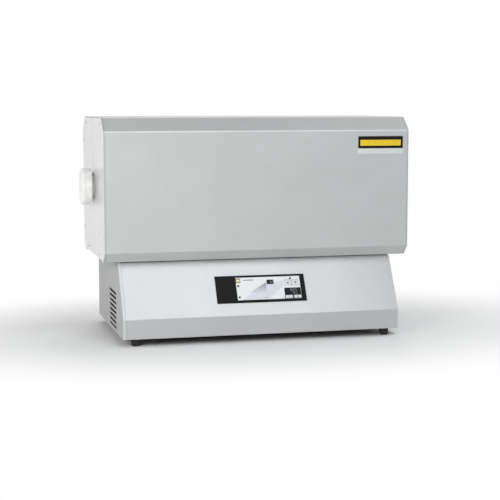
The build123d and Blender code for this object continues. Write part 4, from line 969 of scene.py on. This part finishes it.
def screw_head(place, out, across, dome, turn, rows=11, around=48):
    """Head with a cross recess, and a short shank below it.

    Height over (radius, angle): a dome height * (1 - (r / R)^4), less the recess wherever the
    distance to one of the cross's two arms is under half an arm's width.
    """
    out, across = np.asarray(out, float), np.asarray(across, float)
    third = np.cross(out, across)
    share = np.linspace(0, 1, rows)
    radius = HEAD_RADIUS * share**0.8
    angle = np.linspace(0, 2 * math.pi, around, endpoint=False) + turn
    p = radius[:, None] * np.cos(angle)
    q = radius[:, None] * np.sin(angle)
    p_arm, q_arm = np.abs(turn_by(p, q, -turn))
    soft = 0.22 * MM
    first = step_down(q_arm, RECESS_WIDTH / 2, soft) * step_down(p_arm, RECESS_REACH, soft)
    second = step_down(p_arm, RECESS_WIDTH / 2, soft) * step_down(q_arm, RECESS_REACH, soft)
    height = dome * (1 - (radius[:, None] / HEAD_RADIUS) ** 4) + np.zeros_like(p)
    height = height - RECESS_DEPTH * np.maximum(first, second)
    rim = (
        (HEAD_RADIUS, 0.0),
        (HEAD_RADIUS * 0.98, -0.3 * MM),
        (SHANK_RADIUS, -0.3 * MM),
        (SHANK_RADIUS, -4 * MM),
    )
    for ring_radius, level in rim[0 if dome > 0 else 1:]:
        p = np.vstack([p, ring_radius * np.cos(angle)])
        q = np.vstack([q, ring_radius * np.sin(angle)])
        height = np.vstack([height, np.full(around, level)])
    grid = np.asarray(place, float) + height[..., None] * out
    grid = grid + p[..., None] * across + q[..., None] * third
    points = np.vstack([grid[0, :1], grid[1:].reshape(-1, 3)])
    ring = np.arange(around)
    following = (ring + 1) % around
    faces = np.stack([np.zeros(around, int), 1 + ring, 1 + following], axis=-1).tolist()
    faces += grid_faces(len(grid) - 1, around, start=1).tolist()
    faces.append((1 + (len(grid) - 2) * around + ring[::-1]).tolist())
    return points, faces


def turn_by(p, q, angle):
    """Points turned about the origin."""
    c, s = math.cos(angle), math.sin(angle)
    return c * p - s * q, s * p + c * q


def step_down(value, edge, soft):
    """One inside an edge, nothing outside it, with a smooth step between."""
    share = np.clip((edge + soft / 2 - value) / soft, 0, 1)
    return share * share * (3 - 2 * share)


def panel_screw_places():
    """Screws of the end panels: eight at each end, from the housing's own edges."""
    insets = (
        (TOP_SCREW_INSET, HOUSING_HIGH[2] - PANEL_SCREW_INSET),
        (PANEL_SCREW_INSET, HOUSING_HIGH[2] - SIDE_SCREW_INSET),
        (PANEL_SCREW_INSET, HOUSING_LOW[2] + SIDE_SCREW_INSET),
        (BOTTOM_SCREW_INSET, HOUSING_LOW[2] + PANEL_SCREW_INSET),
    )
    return [
        (side, (x, edge + inward * inset, z))
        for side, x in ((-1, HOUSING_LOW[0]), (1, HOUSING_HIGH[0]))
        for edge, inward in ((HOUSING_LOW[1], 1), (HOUSING_HIGH[1], -1))
        for inset, z in insets
    ]


def cover_screw_places():
    """Flush screws round the rear cover."""
    reach, rise = COVER_SCREW_REACH
    centre = AXIS[2]
    spots = [(x, centre + z) for x in (-reach, 0.0, reach) for z in (-rise, rise)]
    return [(x, HOUSING_HIGH[1], z) for x, z in spots]


def rear_screw_places():
    """Screws along the foot of the base's rear panel."""
    reach = BASE_HIGH[0] - REAR_SCREW_INSET
    level = BASE_LOW[2] + REAR_SCREW_RISE
    return [(x, BASE_HIGH[1], level) for x in (-reach, -reach / 3, reach / 3, reach)]


class FURNACE_OT_make_screws(bpy.types.Operator):
    """Screws with cross recesses, each turned a little differently"""

    bl_idname = "furnace.make_screws"
    bl_label = "Make the screws"

    def execute(self, context):
        plated = steel("screw_steel")
        random = np.random.default_rng(11)
        ends = [
            screw_head(place, (side, 0, 0), (0, 1, 0), HEAD_HEIGHT, random.uniform(0, math.pi))
            for side, place in panel_screw_places()
        ]
        cover = [
            screw_head(place, (0, 1, 0), (1, 0, 0), 0.0, random.uniform(0, math.pi))
            for place in cover_screw_places()
        ]
        rear = [
            screw_head(place, (0, 1, 0), (1, 0, 0), HEAD_HEIGHT, random.uniform(0, math.pi))
            for place in rear_screw_places()
        ]
        for name, node, parts in (
            ("end_panel_screw_heads", "end_panel_screws", ends),
            ("rear_cover_screw_heads", "rear_cover_screws", cover),
            ("rear_panel_screw_heads", "rear_panel_screws", rear),
        ):
            screws = sharpen(join_parts(name, parts), 50)
            assign(plated, name)
            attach(screws, "root")
            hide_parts(node)
        assign(plated, "foot_screws")
        return {"FINISHED"}


class FURNACE_OT_make_feet(bpy.types.Operator):
    """Rubber feet with rounded edges and two shallow grooves"""

    bl_idname = "furnace.make_feet"
    bl_label = "Make the feet"

    def execute(self, context):
        rubber = black_rubber("foot_rubber")
        for node in ("foot_front_left", "foot_front_right", "foot_rear_left", "foot_rear_right"):
            foot = self.foot(node)
            assign(rubber, foot.name)
            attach(foot, "root")
            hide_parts(node)
        return {"FINISHED"}

    def foot(self, node):
        """Turned foot with a recess from below, inside the node's own box."""
        low, high = corners(node)
        radius, height = (high[0] - low[0]) / 2, high[2] - low[2]
        groove, hole, recess, recess_height = 0.7 * MM, 2.25 * MM, 5 * MM, 6 * MM
        points = [(hole, height), (radius, height)]
        radii = [0.6 * MM]
        for share in (0.68, 0.40):
            level, wall = share * height, radius - (1 - share) * 1.0 * MM
            points += [(wall, level + groove), (wall - groove, level), (wall, level - groove)]
            radii += [0.3 * MM, 0.5 * MM, 0.3 * MM]
        points += [(radius - 1.2 * MM, 0.0), (recess, 0.0)]
        points += [(recess, recess_height), (hole, recess_height), (hole, height)]
        radii += [1.5 * MM, 0.6 * MM, 0.4 * MM, 0.0]
        path = rounded_path(points, radii, 5)
        place = (low + high) / 2
        grid = turned(path[:-1], (place[0], place[1], low[2]), (0, 0, 1), (1, 0, 0), around=64)
        faces = grid_faces(len(grid), 64).tolist()
        ring = np.arange(64)
        following = (ring + 1) % 64
        last = (len(grid) - 1) * 64
        faces += np.stack([last + ring, last + following, following, ring], axis=-1).tolist()
        piece = join_parts(node.replace("foot", "rubber_foot"), [(grid.reshape(-1, 3), faces)])
        return sharpen(piece, 40)


# Printed areas on the controller's face, in millimetres to the right and up from its middle
DIAGONAL_BAND = [
    (-42, -24.4), (13, -24.4), (48.5, 3.0), (49.3, 14.2), (28.6, 13.4),
    (28.6, 8.4), (13.4, 8.4), (13.4, 12.8), (9, 12.6),
]
RAMP_LEFT, RAMP_RIGHT, RAMP_FOOT = -24.0, 12.0, -9.5
RAMP_LOW, RAMP_HIGH, RAMP_BARS = 2.0, 21.5, 12
TITLE_BAR = (23.5, 1.9, (-25.6, 18.9))
SMALL_BAR = (7.0, 1.3, (8.8, -21.4))
KEY_PAD_MIDDLE = (67.3, 10.6)
DISPLAY = (35.0, 18.0, (67.3, -7.6))
STATUS = (14.0, 9.0, (21.0, 13.5))
LAMP = (8.6, 8.6, (-47.6, 18.4))
LAMP_GLOW = (6.4, 5.2, (-47.6, 18.4))
LENSES = ((-48.4, 6.4), (-48.2, -18.6), (65.0, 20.2))
UPPER_KEYS = {"key_up": (59.3, 10.4), "key_down": (75.4, 10.4)}
LOWER_KEYS = {"key_enter": (58.2, -20.8), "key_page": (76.8, -20.8)}
KEY_PROUD = 0.2 * MM
UPPER_KEY_SIZE, LOWER_KEY_SIZE = (13.0, 9.0), (15.0, 6.0)
KEY_ROOM = 0.4
# Printed fields round each pair of keys: left, right, foot and top
UPPER_FIELD = (50.8, 83.8, 2.85, 18.35)
LOWER_FIELD = (48.9, 85.4, -24.8, -16.7)

# Strokes of a seven-part figure, as its corners in a box of 1 by 2, and the strokes of each number
STROKES = {
    "a": ((0, 2), (1, 2)),
    "b": ((1, 2), (1, 1)),
    "c": ((1, 1), (1, 0)),
    "d": ((0, 0), (1, 0)),
    "e": ((0, 0), (0, 1)),
    "f": ((0, 1), (0, 2)),
    "g": ((0, 1), (1, 1)),
}
FIGURES = ("abcdef", "bc", "abged", "abgcd", "fgbc", "afgcd", "afgedc", "abc", "abcdefg", "abcfgd")


def stroke(start, end, width):
    """Outline of one bar of a figure: a long hexagon between two corners, short of both."""
    start, end = np.asarray(start, float), np.asarray(end, float)
    along = (end - start) / np.linalg.norm(end - start)
    across = np.array([-along[1], along[0]]) * width / 2
    tip = along * width * 0.15
    shoulder = along * width * 0.65
    return [
        start + tip, start + shoulder - across, end - shoulder - across,
        end - tip, end - shoulder + across, start + shoulder + across,
    ]


def figures(number, right, foot, height, width):
    """Outlines of all the strokes of a number that ends at a given right edge."""
    outlines = []
    figure_width, pitch = height * 0.5, height * 0.78
    for place, digit in enumerate(reversed(str(number))):
        left = right - figure_width - place * pitch
        for part in FIGURES[int(digit)]:
            ends = [(left + x * figure_width, foot + y * height / 2) for x, y in STROKES[part]]
            outlines.append(stroke(*ends, width))
    return outlines


def border(size, width, radius, low, high):
    """Flat ring round a rectangle on the controller's face."""
    wide, tall, centre = size
    inner = rounded_rectangle(wide, tall, radius, centre)
    outer = rounded_rectangle(wide + 2 * width, tall + 2 * width, radius + width, centre)
    rings = [(inner, low), (inner, high), (outer, high), (outer, low)]
    points = [
        FACE_ORIGIN + ring[:, :1] * MM * FACE_RIGHT + ring[:, 1:] * MM * FACE_UP + level * FACE_OUT
        for ring, level in rings
    ]
    count = len(inner)
    faces = grid_faces(4, count).tolist()
    ring = np.arange(count)
    following = (ring + 1) % count
    faces += np.stack([3 * count + ring, 3 * count + following, following, ring], axis=-1).tolist()
    return np.vstack(points), faces


def around_keys(field, keys, size):
    """Outlines that fill a field round a pair of keys: three upright strips, and one above and
    one below each key, all a little clear of the keys so that these can sink past them."""
    left, right, foot, top = field
    (first, level), (second, _) = keys
    wide, tall = size[0] / 2 + KEY_ROOM, size[1] / 2 + KEY_ROOM
    strips = [
        (left, first - wide, foot, top),
        (first + wide, second - wide, foot, top),
        (second + wide, right, foot, top),
    ]
    for x in (first, second):
        strips.append((x - wide, x + wide, foot, level - tall))
        strips.append((x - wide, x + wide, level + tall, top))
    return [
        rounded_rectangle(x1 - x0, y1 - y0, 0.1, ((x0 + x1) / 2, (y0 + y1) / 2), 1)
        for x0, x1, y0, y1 in strips
    ]


def printed(name, parts, material, body="root"):
    """One printed piece on the face, which rides on a body."""
    piece = join_parts(name, parts, smooth=False)
    assign(material, name)
    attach(piece, body)
    return piece


class FURNACE_OT_make_controller_face(bpy.types.Operator):
    """Printed foil, keys, lamps and windows of the controller"""

    bl_idname = "furnace.make_controller_face"
    bl_label = "Make the controller's face"

    def execute(self, context):
        ink = context.scene.furnace_controller.ink
        low, high = -ink, ink
        bezel = grained_plastic("bezel_plastic", (0.008, 0.008, 0.008), 0.58, shine=0.12)
        assign(bezel, "controller_bezel")
        assign(printed_ink("foil_white", (0.89, 0.90, 0.91), 0.42, 0.012), "keypad_foil")
        assign(display_glass("display_dark"), "display_window")
        assign(display_glass("status_dark", (0.014, 0.015, 0.017)), "status_window")
        assign(lamp_lens("lens_dark", (0.06, 0.065, 0.08)), "indicator_lenses")
        band_ink = printed_ink("band_ink", (0.76, 0.785, 0.835))
        printed("foil_band", on_face([DIAGONAL_BAND], low, high), band_ink)
        self.ramp(low, high + ink)
        grey = printed_ink("grey_ink", (0.26, 0.265, 0.28))
        bars = [rounded_rectangle(w, h, h / 2, c) for w, h, c in (TITLE_BAR, SMALL_BAR)]
        printed("foil_lines", on_face(bars, low, high), grey)
        pad = around_keys(UPPER_FIELD, UPPER_KEYS.values(), UPPER_KEY_SIZE)
        pad_pale = printed_ink("pad_pale", (0.77, 0.785, 0.82))
        printed("key_pad_field", on_face(pad, low, 0.6 * high), pad_pale)
        printed("key_pad_dots", self.pad_dots(low, high), printed_ink("pad_ink", (0.30, 0.31, 0.35)))
        dark = printed_ink("dark_ink", (0.035, 0.036, 0.04))
        rings = [
            border((2.9, 2.9, place), 1.0, 1.449, low, 1.2 * high) for place in LENSES
        ]
        rings.append(border(STATUS, 0.5, 0.4, low, high))
        printed("lens_rings", rings, dark)
        frames = [border(LAMP, 0.9, 0.5, low, high)]
        printed("lamp_frames", frames, grey)
        surround = around_keys(LOWER_FIELD, LOWER_KEYS.values(), LOWER_KEY_SIZE)
        printed("key_surround", on_face(surround, low, high), dark)
        strip = [rounded_rectangle(DISPLAY[0] + 0.4, 2.6, 0.2, (DISPLAY[2][0], 0.4))]
        pale = printed_ink("strip_white", (0.86, 0.87, 0.88), 0.42, 0.012)
        printed("display_strip", on_face(strip, low, high), pale)
        self.lamp()
        self.keys(high)
        return {"FINISHED"}

    def ramp(self, low, high):
        """Row of bars that rise to the right, darker towards their tops."""
        pitch = (RAMP_RIGHT - RAMP_LEFT) / RAMP_BARS
        finish = Finish("ramp_ink", 0.5)
        foot = FOIL_TOP[2] + RAMP_FOOT * MM * FACE_UP[2]
        share = finish.span(finish.axis("Z"), 0, 1, foot, foot + RAMP_HIGH * MM * FACE_UP[2])
        finish.colour(finish.blend(share, (0.66, 0.68, 0.73), (0.25, 0.26, 0.28)))
        finish.bump(finish.noise(0.35 * MM), 0.01 * MM, 0.4)
        outlines = []
        for bar in range(RAMP_BARS):
            rise = RAMP_LOW + (RAMP_HIGH - RAMP_LOW) * bar / (RAMP_BARS - 1)
            centre = (RAMP_LEFT + (bar + 0.5) * pitch, RAMP_FOOT + rise / 2)
            outlines.append(rounded_rectangle(pitch * 0.82, rise, 0.2, centre))
        printed("ramp_print", on_face(outlines, low, high), finish.material)

    def pad_dots(self, low, high):
        """Rows of small dots that narrow downwards between the two upper keys."""
        dots = [
            disc(0.42, (KEY_PAD_MIDDLE[0] + column * 1.3, KEY_PAD_MIDDLE[1] + 4.4 - row * 1.3), 10)
            for row in range(9)
            for column in range(-1, 2)
        ]
        dots += [
            disc(0.42, (KEY_PAD_MIDDLE[0] + side * (2.6 + column * 1.3), KEY_PAD_MIDDLE[1] + 6.4), 10)
            for side in (-1, 1)
            for column in range(10)
        ]
        return on_face(dots, low, high)

    def lamp(self):
        """Square lamp: a grey cap with a soft edge round a field that is lit pale yellow."""
        cap = rounded_rectangle(LAMP[0] - 0.3, LAMP[1] - 0.3, 0.8, LAMP[2])
        parts = on_face([cap], -0.5 * MM, 0.10 * MM, 0.1 * MM)
        grey = lamp_lens("lamp_grey", (0.20, 0.20, 0.19))
        printed("status_lamp_cap", parts, grey)
        field = rounded_rectangle(LAMP_GLOW[0], LAMP_GLOW[1], 0.6, LAMP_GLOW[2])
        parts = on_face([field], 0.05 * MM, 0.18 * MM, 0.05 * MM)
        yellow = lamp_lens("lamp_yellow", (0.80, 0.62, 0.20), 0.12)
        printed("status_lamp_field", parts, yellow)

    def keys(self, high):
        """Key caps in pale plastic, with plain arrows, a ring and a dot printed on them."""
        cap = plain_finish("key_plastic", (0.80, 0.81, 0.83), 0.5 * MM, 0.45, 0.02 * MM, 0.03).material
        assign(cap, *UPPER_KEYS, *LOWER_KEYS)
        grey = printed_ink("key_ink", (0.16, 0.17, 0.19))
        level = (KEY_PROUD - 0.02 * MM, KEY_PROUD + high)
        for sign, (name, (x, y)) in zip((1, -1), UPPER_KEYS.items()):
            arrow = [(x - 3.2, y - sign * 2.0), (x + 3.2, y - sign * 2.0), (x, y + sign * 2.6)]
            printed(name + "_mark", on_face([arrow[::sign]], *level), grey, name)
        for name, (x, y) in LOWER_KEYS.items():
            if name == "key_page":
                parts = on_face([disc(1.5, (x, y))], *level)
            else:
                parts = [border((2.0, 2.0, (x, y)), 0.6, 0.99, *level)]
            printed(name + "_mark", parts, grey, name)


class FURNACE_OT_make_display(bpy.types.Operator):
    """Numbers in the display and in the small window over it"""

    bl_idname = "furnace.make_display"
    bl_label = "Make the display's numbers"

    def execute(self, context):
        settings = context.scene.furnace_controller
        level = (-0.02 * MM, 0.03 * MM)
        right = DISPLAY[2][0] + DISPLAY[0] / 2 - 8.6
        foot = DISPLAY[2][1] - DISPLAY[1] / 2
        upper = figures(settings.upper_number, right, foot + 8.2, 6.4, 0.85)
        lower = figures(settings.lower_number, right, foot + 2.2, 4.4, 0.65)
        pale = printed_ink("figure_pale", (0.25, 0.27, 0.26), 0.5, 0.05)
        printed("display_figures", on_face(upper + lower, *level), pale)
        right = STATUS[2][0] + STATUS[0] / 2 - 1.8
        small = figures(settings.lower_number // 10, right, STATUS[2][1] - 2.4, 4.4, 0.6)
        printed("status_figures", on_face(small, *level), pale)
        return {"FINISHED"}


# Plain plate on the front: heights in millimetres down from its top, and widths across it
PLATE_FIELD_HEIGHT = 26.0
PLATE_FIELD_INSET = 0.2
BAND_SIZE = (90.0, 12.4)
BAND_DROP = 14.0


class FURNACE_OT_make_plate(bpy.types.Operator):
    """Plain plate on the housing: black enamel with a yellow band over bare metal"""

    bl_idname = "furnace.make_plate"
    bl_label = "Make the front plate"

    def execute(self, context):
        low, high = corners("name_plate")
        assign(brushed_metal("plate_metal", (0.66, 0.68, 0.69), 0.42, (30, 1, 1), 0.6), "name_plate")
        origin = np.array([(low[0] + high[0]) / 2, low[1], high[2]])
        right, up, out = np.array([1.0, 0, 0]), np.array([0, 0, 1.0]), np.array([0, -1.0, 0])
        width = (high[0] - low[0]) / MM
        field = rounded_rectangle(
            width - 2 * PLATE_FIELD_INSET,
            PLATE_FIELD_HEIGHT - 2 * PLATE_FIELD_INSET,
            0.8,
            (0, -PLATE_FIELD_HEIGHT / 2),
        )
        band = rounded_rectangle(*BAND_SIZE, 0.6, (0, -BAND_DROP))
        black = printed_ink("enamel_black", (0.006, 0.006, 0.006), 0.32, 0.1, 0.15)
        yellow = printed_ink("enamel_yellow", (0.90, 0.65, 0.035), 0.40, 0.05)
        for name, outline, material, top in (
            ("plate_field", field, black, 0.10 * MM),
            ("plate_band", band, yellow, 0.16 * MM),
        ):
            part = slab(outline * MM, origin, right, up, out, -0.1 * MM, top, 0.04 * MM)
            printed(name, [part], material)
        return {"FINISHED"}


class FURNACE_OT_finish_rear(bpy.types.Operator):
    """Mains inlet, rocker switch with its raised marks, and fuse holders in the rear"""

    bl_idname = "furnace.finish_rear"
    bl_label = "Finish the rear fittings"

    def execute(self, context):
        assign(grained_plastic("fitting_plastic"), "inlet_housing", "switch_frame", "fuse_holders")
        assign(grained_plastic("rocker_plastic", (0.02, 0.02, 0.022), 0.30, 0.4 * MM), "switch_rocker")
        assign(steel("pin_metal", (0.66, 0.65, 0.62), 0.28), "inlet_pins")
        self.marks()
        return {"FINISHED"}

    def marks(self):
        """A raised bar on the rocker's upper half and a raised ring on its lower half."""
        joint = next(joint for joint in frame["joints"] if joint["name"] == "rocker_tilt")
        origin = np.array(joint["pos_m"], float)
        rest, dip, crown, reach = math.radians(8), 1.4, 3.6, 12.4
        tip = math.sqrt(reach**2 - crown**2)
        right = np.array([-1.0, 0, 0])
        parts = []
        for sign in (1, -1):
            lean = math.atan2(crown - dip, tip) * sign + rest
            up = np.array([0, math.sin(lean), math.cos(lean)])
            out = np.array([0, math.cos(lean), -math.sin(lean)])
            foot = origin + dip * MM * np.array([0, math.cos(rest), -math.sin(rest)])
            centre = foot + sign * tip * 0.55 * MM * up
            if sign > 0:
                outline = rounded_rectangle(1.0 * MM, 5.5 * MM, 0.3 * MM)
                parts.append(slab(outline, centre, right, up, out, -0.05 * MM, 0.15 * MM))
            else:
                outer, inner = disc(2.5 * MM, count=32), disc(1.7 * MM, count=32)
                rings = [(inner, -0.05), (inner, 0.15), (outer, 0.15), (outer, -0.05)]
                grid = [centre + r[:, :1] * right + r[:, 1:] * up + w * MM * out for r, w in rings]
                faces = grid_faces(4, 32).tolist()
                ring = np.arange(32)
                following = (ring + 1) % 32
                faces += np.stack([96 + ring, 96 + following, following, ring], axis=-1).tolist()
                parts.append((np.vstack(grid), faces))
        white = printed_ink("mark_white", (0.80, 0.80, 0.79))
        printed("rocker_marks", parts, white, "switch_rocker")


# Lamps: place, aim, width, power and colour
LAMPS = {
    "front_softbox": ((0.36, -1.55, 1.85), (0.0, -0.145, 0.11), 1.2, 14.4, (0.91, 0.96, 1.0)),
    "overhead_lamp": ((1.10, -0.10, 2.30), (0.25, -0.05, 0.40), 0.8, 5.0, (1.0, 1.0, 1.0)),
    "near_left_lamp": ((-1.25, -1.35, 0.75), (0.0, -0.10, 0.28), 0.6, 12.6, (1.0, 1.0, 0.99)),
    "far_left_lamp": ((-1.30, -2.40, 0.70), (0.0, -0.10, 0.30), 0.8, 5.0, (1.0, 1.0, 1.0)),
    "left_side_lamp": ((-2.30, 0.30, 1.00), (-0.30, 0.0, 0.30), 1.2, 15.0, (1.0, 1.0, 1.0)),
    "right_side_lamp": ((2.30, 0.50, 1.10), (0.30, 0.0, 0.30), 1.2, 14.0, (1.0, 1.0, 1.0)),
    "rear_lamp": ((0.60, 2.40, 1.40), (0.0, 0.10, 0.25), 1.4, 26.0, (1.0, 1.0, 1.0)),
}
# Lamps that gloss doesn't show, because the housing's flat top would mirror them
MATT_LAMPS = ("left_side_lamp", "right_side_lamp", "rear_lamp")


class FURNACE_OT_set_stage(bpy.types.Operator):
    """Pale floor, soft studio light and the camera at the photograph's viewing angle"""

    bl_idname = "furnace.set_stage"
    bl_label = "Set the stage"

    def execute(self, context):
        stage = context.scene.furnace_stage
        self.floor(stage)
        for name, values in LAMPS.items():
            self.lamp(name, *values)
        self.room(stage)
        self.camera(context.scene, stage)
        context.scene.view_settings.view_transform = "Standard"
        return {"FINISHED"}

    def floor(self, stage):
        """Flat round floor: rings of points at growing radii."""
        radius = np.linspace(0, 1, 14)[1:, None] ** 1.5 * stage.floor_size
        angle = np.linspace(0, 2 * math.pi, 96, endpoint=False)
        level = np.full(radius.shape[0] * 96, -0.2 * MM)
        points = np.stack(
            [(radius * np.cos(angle)).ravel(), (radius * np.sin(angle)).ravel(), level], axis=-1
        )
        points = np.vstack([points, (0, 0, -0.2 * MM)])
        ring = np.arange(96)
        faces = grid_faces(len(radius), 96)[:, ::-1].tolist()
        faces += np.stack([np.full(96, len(points) - 1), ring, (ring + 1) % 96], axis=-1).tolist()
        floor = join_parts("studio_floor", [(points, faces)], smooth=False)
        assign(self.floor_finish(), floor.name)

    def floor_finish(self):
        """Pale matt floor that fades to plain white far from the object."""
        finish = Finish("floor_pale", 0.7)
        tone = finish.noise(0.5, detail=2.0)
        finish.colour(finish.blend(tone, (0.84, 0.84, 0.84), (0.87, 0.87, 0.87)))
        finish.bump(finish.noise(3 * MM), 0.1 * MM, 0.1)
        length = finish.nodes.new("ShaderNodeVectorMath")
        length.operation = "LENGTH"
        finish.link(finish.stretched((0.62, 1.0, 1.0)), length.inputs[0])
        away = finish.span(length.outputs["Value"], 0.0, 1.0, 0.22, 0.62)
        share = finish.maths("MULTIPLY", away, seen_directly(finish))
        white = finish.nodes.new("ShaderNodeEmission")
        white.inputs["Color"].default_value = (1, 1, 1, 1)
        mixed = finish.nodes.new("ShaderNodeMixShader")
        finish.link(share, mixed.inputs["Fac"])
        finish.link(finish.shader.outputs["BSDF"], mixed.inputs[1])
        finish.link(white.outputs["Emission"], mixed.inputs[2])
        finish.link(mixed.outputs["Shader"], finish.nodes["Material Output"].inputs["Surface"])
        return finish.material

    def lamp(self, name, place, aim, width, power, colour):
        """Square soft lamp that faces a point."""
        data = bpy.data.lights.new(name, "AREA")
        data.size = width
        data.energy = power
        data.color = colour
        lamp = bpy.data.objects.new(name, data)
        back = np.asarray(place) - np.asarray(aim)
        turn = math.atan2(back[0], -back[1])
        tilt = math.atan2(math.hypot(back[0], back[1]), back[2])
        lamp.visible_camera = False
        lamp.visible_glossy = name not in MATT_LAMPS
        lamp.location = place
        lamp.rotation_euler = (tilt, 0.0, turn)
        bpy.context.scene.collection.objects.link(lamp)

    def room(self, stage):
        """Even room light, with white for what the camera and reflections see."""
        world = bpy.data.worlds.new("studio_room")
        bpy.context.scene.world = world
        world.use_nodes = True
        nodes, links = world.node_tree.nodes, world.node_tree.links
        light = nodes["Background"]
        light.inputs["Color"].default_value = (1, 1, 1, 1)
        light.inputs["Strength"].default_value = stage.room_light
        white = nodes.new("ShaderNodeBackground")
        white.inputs["Color"].default_value = (1, 1, 1, 1)
        path = nodes.new("ShaderNodeLightPath")
        share = path.outputs["Is Camera Ray"]
        for ray in ("Is Glossy Ray", "Is Transmission Ray"):
            added = nodes.new("ShaderNodeMath")
            added.operation = "MAXIMUM"
            links.new(share, added.inputs[0])
            links.new(path.outputs[ray], added.inputs[1])
            share = added.outputs["Value"]
        mixed = nodes.new("ShaderNodeMixShader")
        links.new(share, mixed.inputs["Fac"])
        links.new(light.outputs["Background"], mixed.inputs[1])
        links.new(white.outputs["Background"], mixed.inputs[2])
        links.new(mixed.outputs["Shader"], nodes["World Output"].inputs["Surface"])

    def camera(self, scene, stage):
        """Camera with a long lens, without shift or blur."""
        data = bpy.data.cameras.new("photo_camera")
        data.sensor_width = 36
        data.lens = stage.camera_lens
        data.clip_end = 100
        camera = bpy.data.objects.new("photo_camera", data)
        camera.location = stage.camera_place
        camera.rotation_euler = (math.pi / 2 - stage.camera_pitch, 0.0, -stage.camera_turn)
        scene.collection.objects.link(camera)
        scene.camera = camera


def seen_directly(finish):
    """One for rays of the camera and for what mirrors and glass show, else nothing."""
    path = finish.nodes.new("ShaderNodeLightPath")
    share = path.outputs["Is Camera Ray"]
    for ray in ("Is Glossy Ray", "Is Transmission Ray"):
        share = finish.maths("MAXIMUM", share, path.outputs[ray])
    return share


class FURNACE_PT_looks(bpy.types.Panel):
    """Lists the steps in the sidebar of the 3D view"""

    bl_idname = "FURNACE_PT_looks"
    bl_label = "Tube furnace"
    bl_space_type = "VIEW_3D"
    bl_region_type = "UI"
    bl_category = "Furnace"

    def draw(self, context):
        scene = context.scene
        for settings in (
            scene.furnace_paint,
            scene.furnace_plugs,
            scene.furnace_controller,
            scene.furnace_stage,
        ):
            box = self.layout.box()
            for name in settings.__annotations__:
                box.prop(settings, name)
        for operator in OPERATORS:
            self.layout.operator(operator.bl_idname)


SETTINGS = {
    "furnace_paint": FurnacePaint,
    "furnace_plugs": FurnacePlugs,
    "furnace_controller": FurnaceController,
    "furnace_stage": FurnaceStage,
}
OPERATORS = (
    FURNACE_OT_set_stage,
    FURNACE_OT_paint_housing,
    FURNACE_OT_finish_inside,
    FURNACE_OT_make_plugs,
    FURNACE_OT_make_screws,
    FURNACE_OT_make_feet,
    FURNACE_OT_make_controller_face,
    FURNACE_OT_make_display,
    FURNACE_OT_make_plate,
    FURNACE_OT_finish_rear,
)


def register():
    for group in (*SETTINGS.values(), *OPERATORS, FURNACE_PT_looks):
        bpy.utils.register_class(group)
    for name, group in SETTINGS.items():
        setattr(bpy.types.Scene, name, PointerProperty(type=group))


def unregister():
    for name in SETTINGS:
        delattr(bpy.types.Scene, name)
    for group in (FURNACE_PT_looks, *reversed(OPERATORS), *reversed(SETTINGS.values())):
        bpy.utils.unregister_class(group)


def main():
    register()
    for operator in OPERATORS:
        family, name = operator.bl_idname.split(".")
        getattr(getattr(bpy.ops, family), name)()
    bpy.context.view_layer.update()


if __name__ == "__main__":
    main()
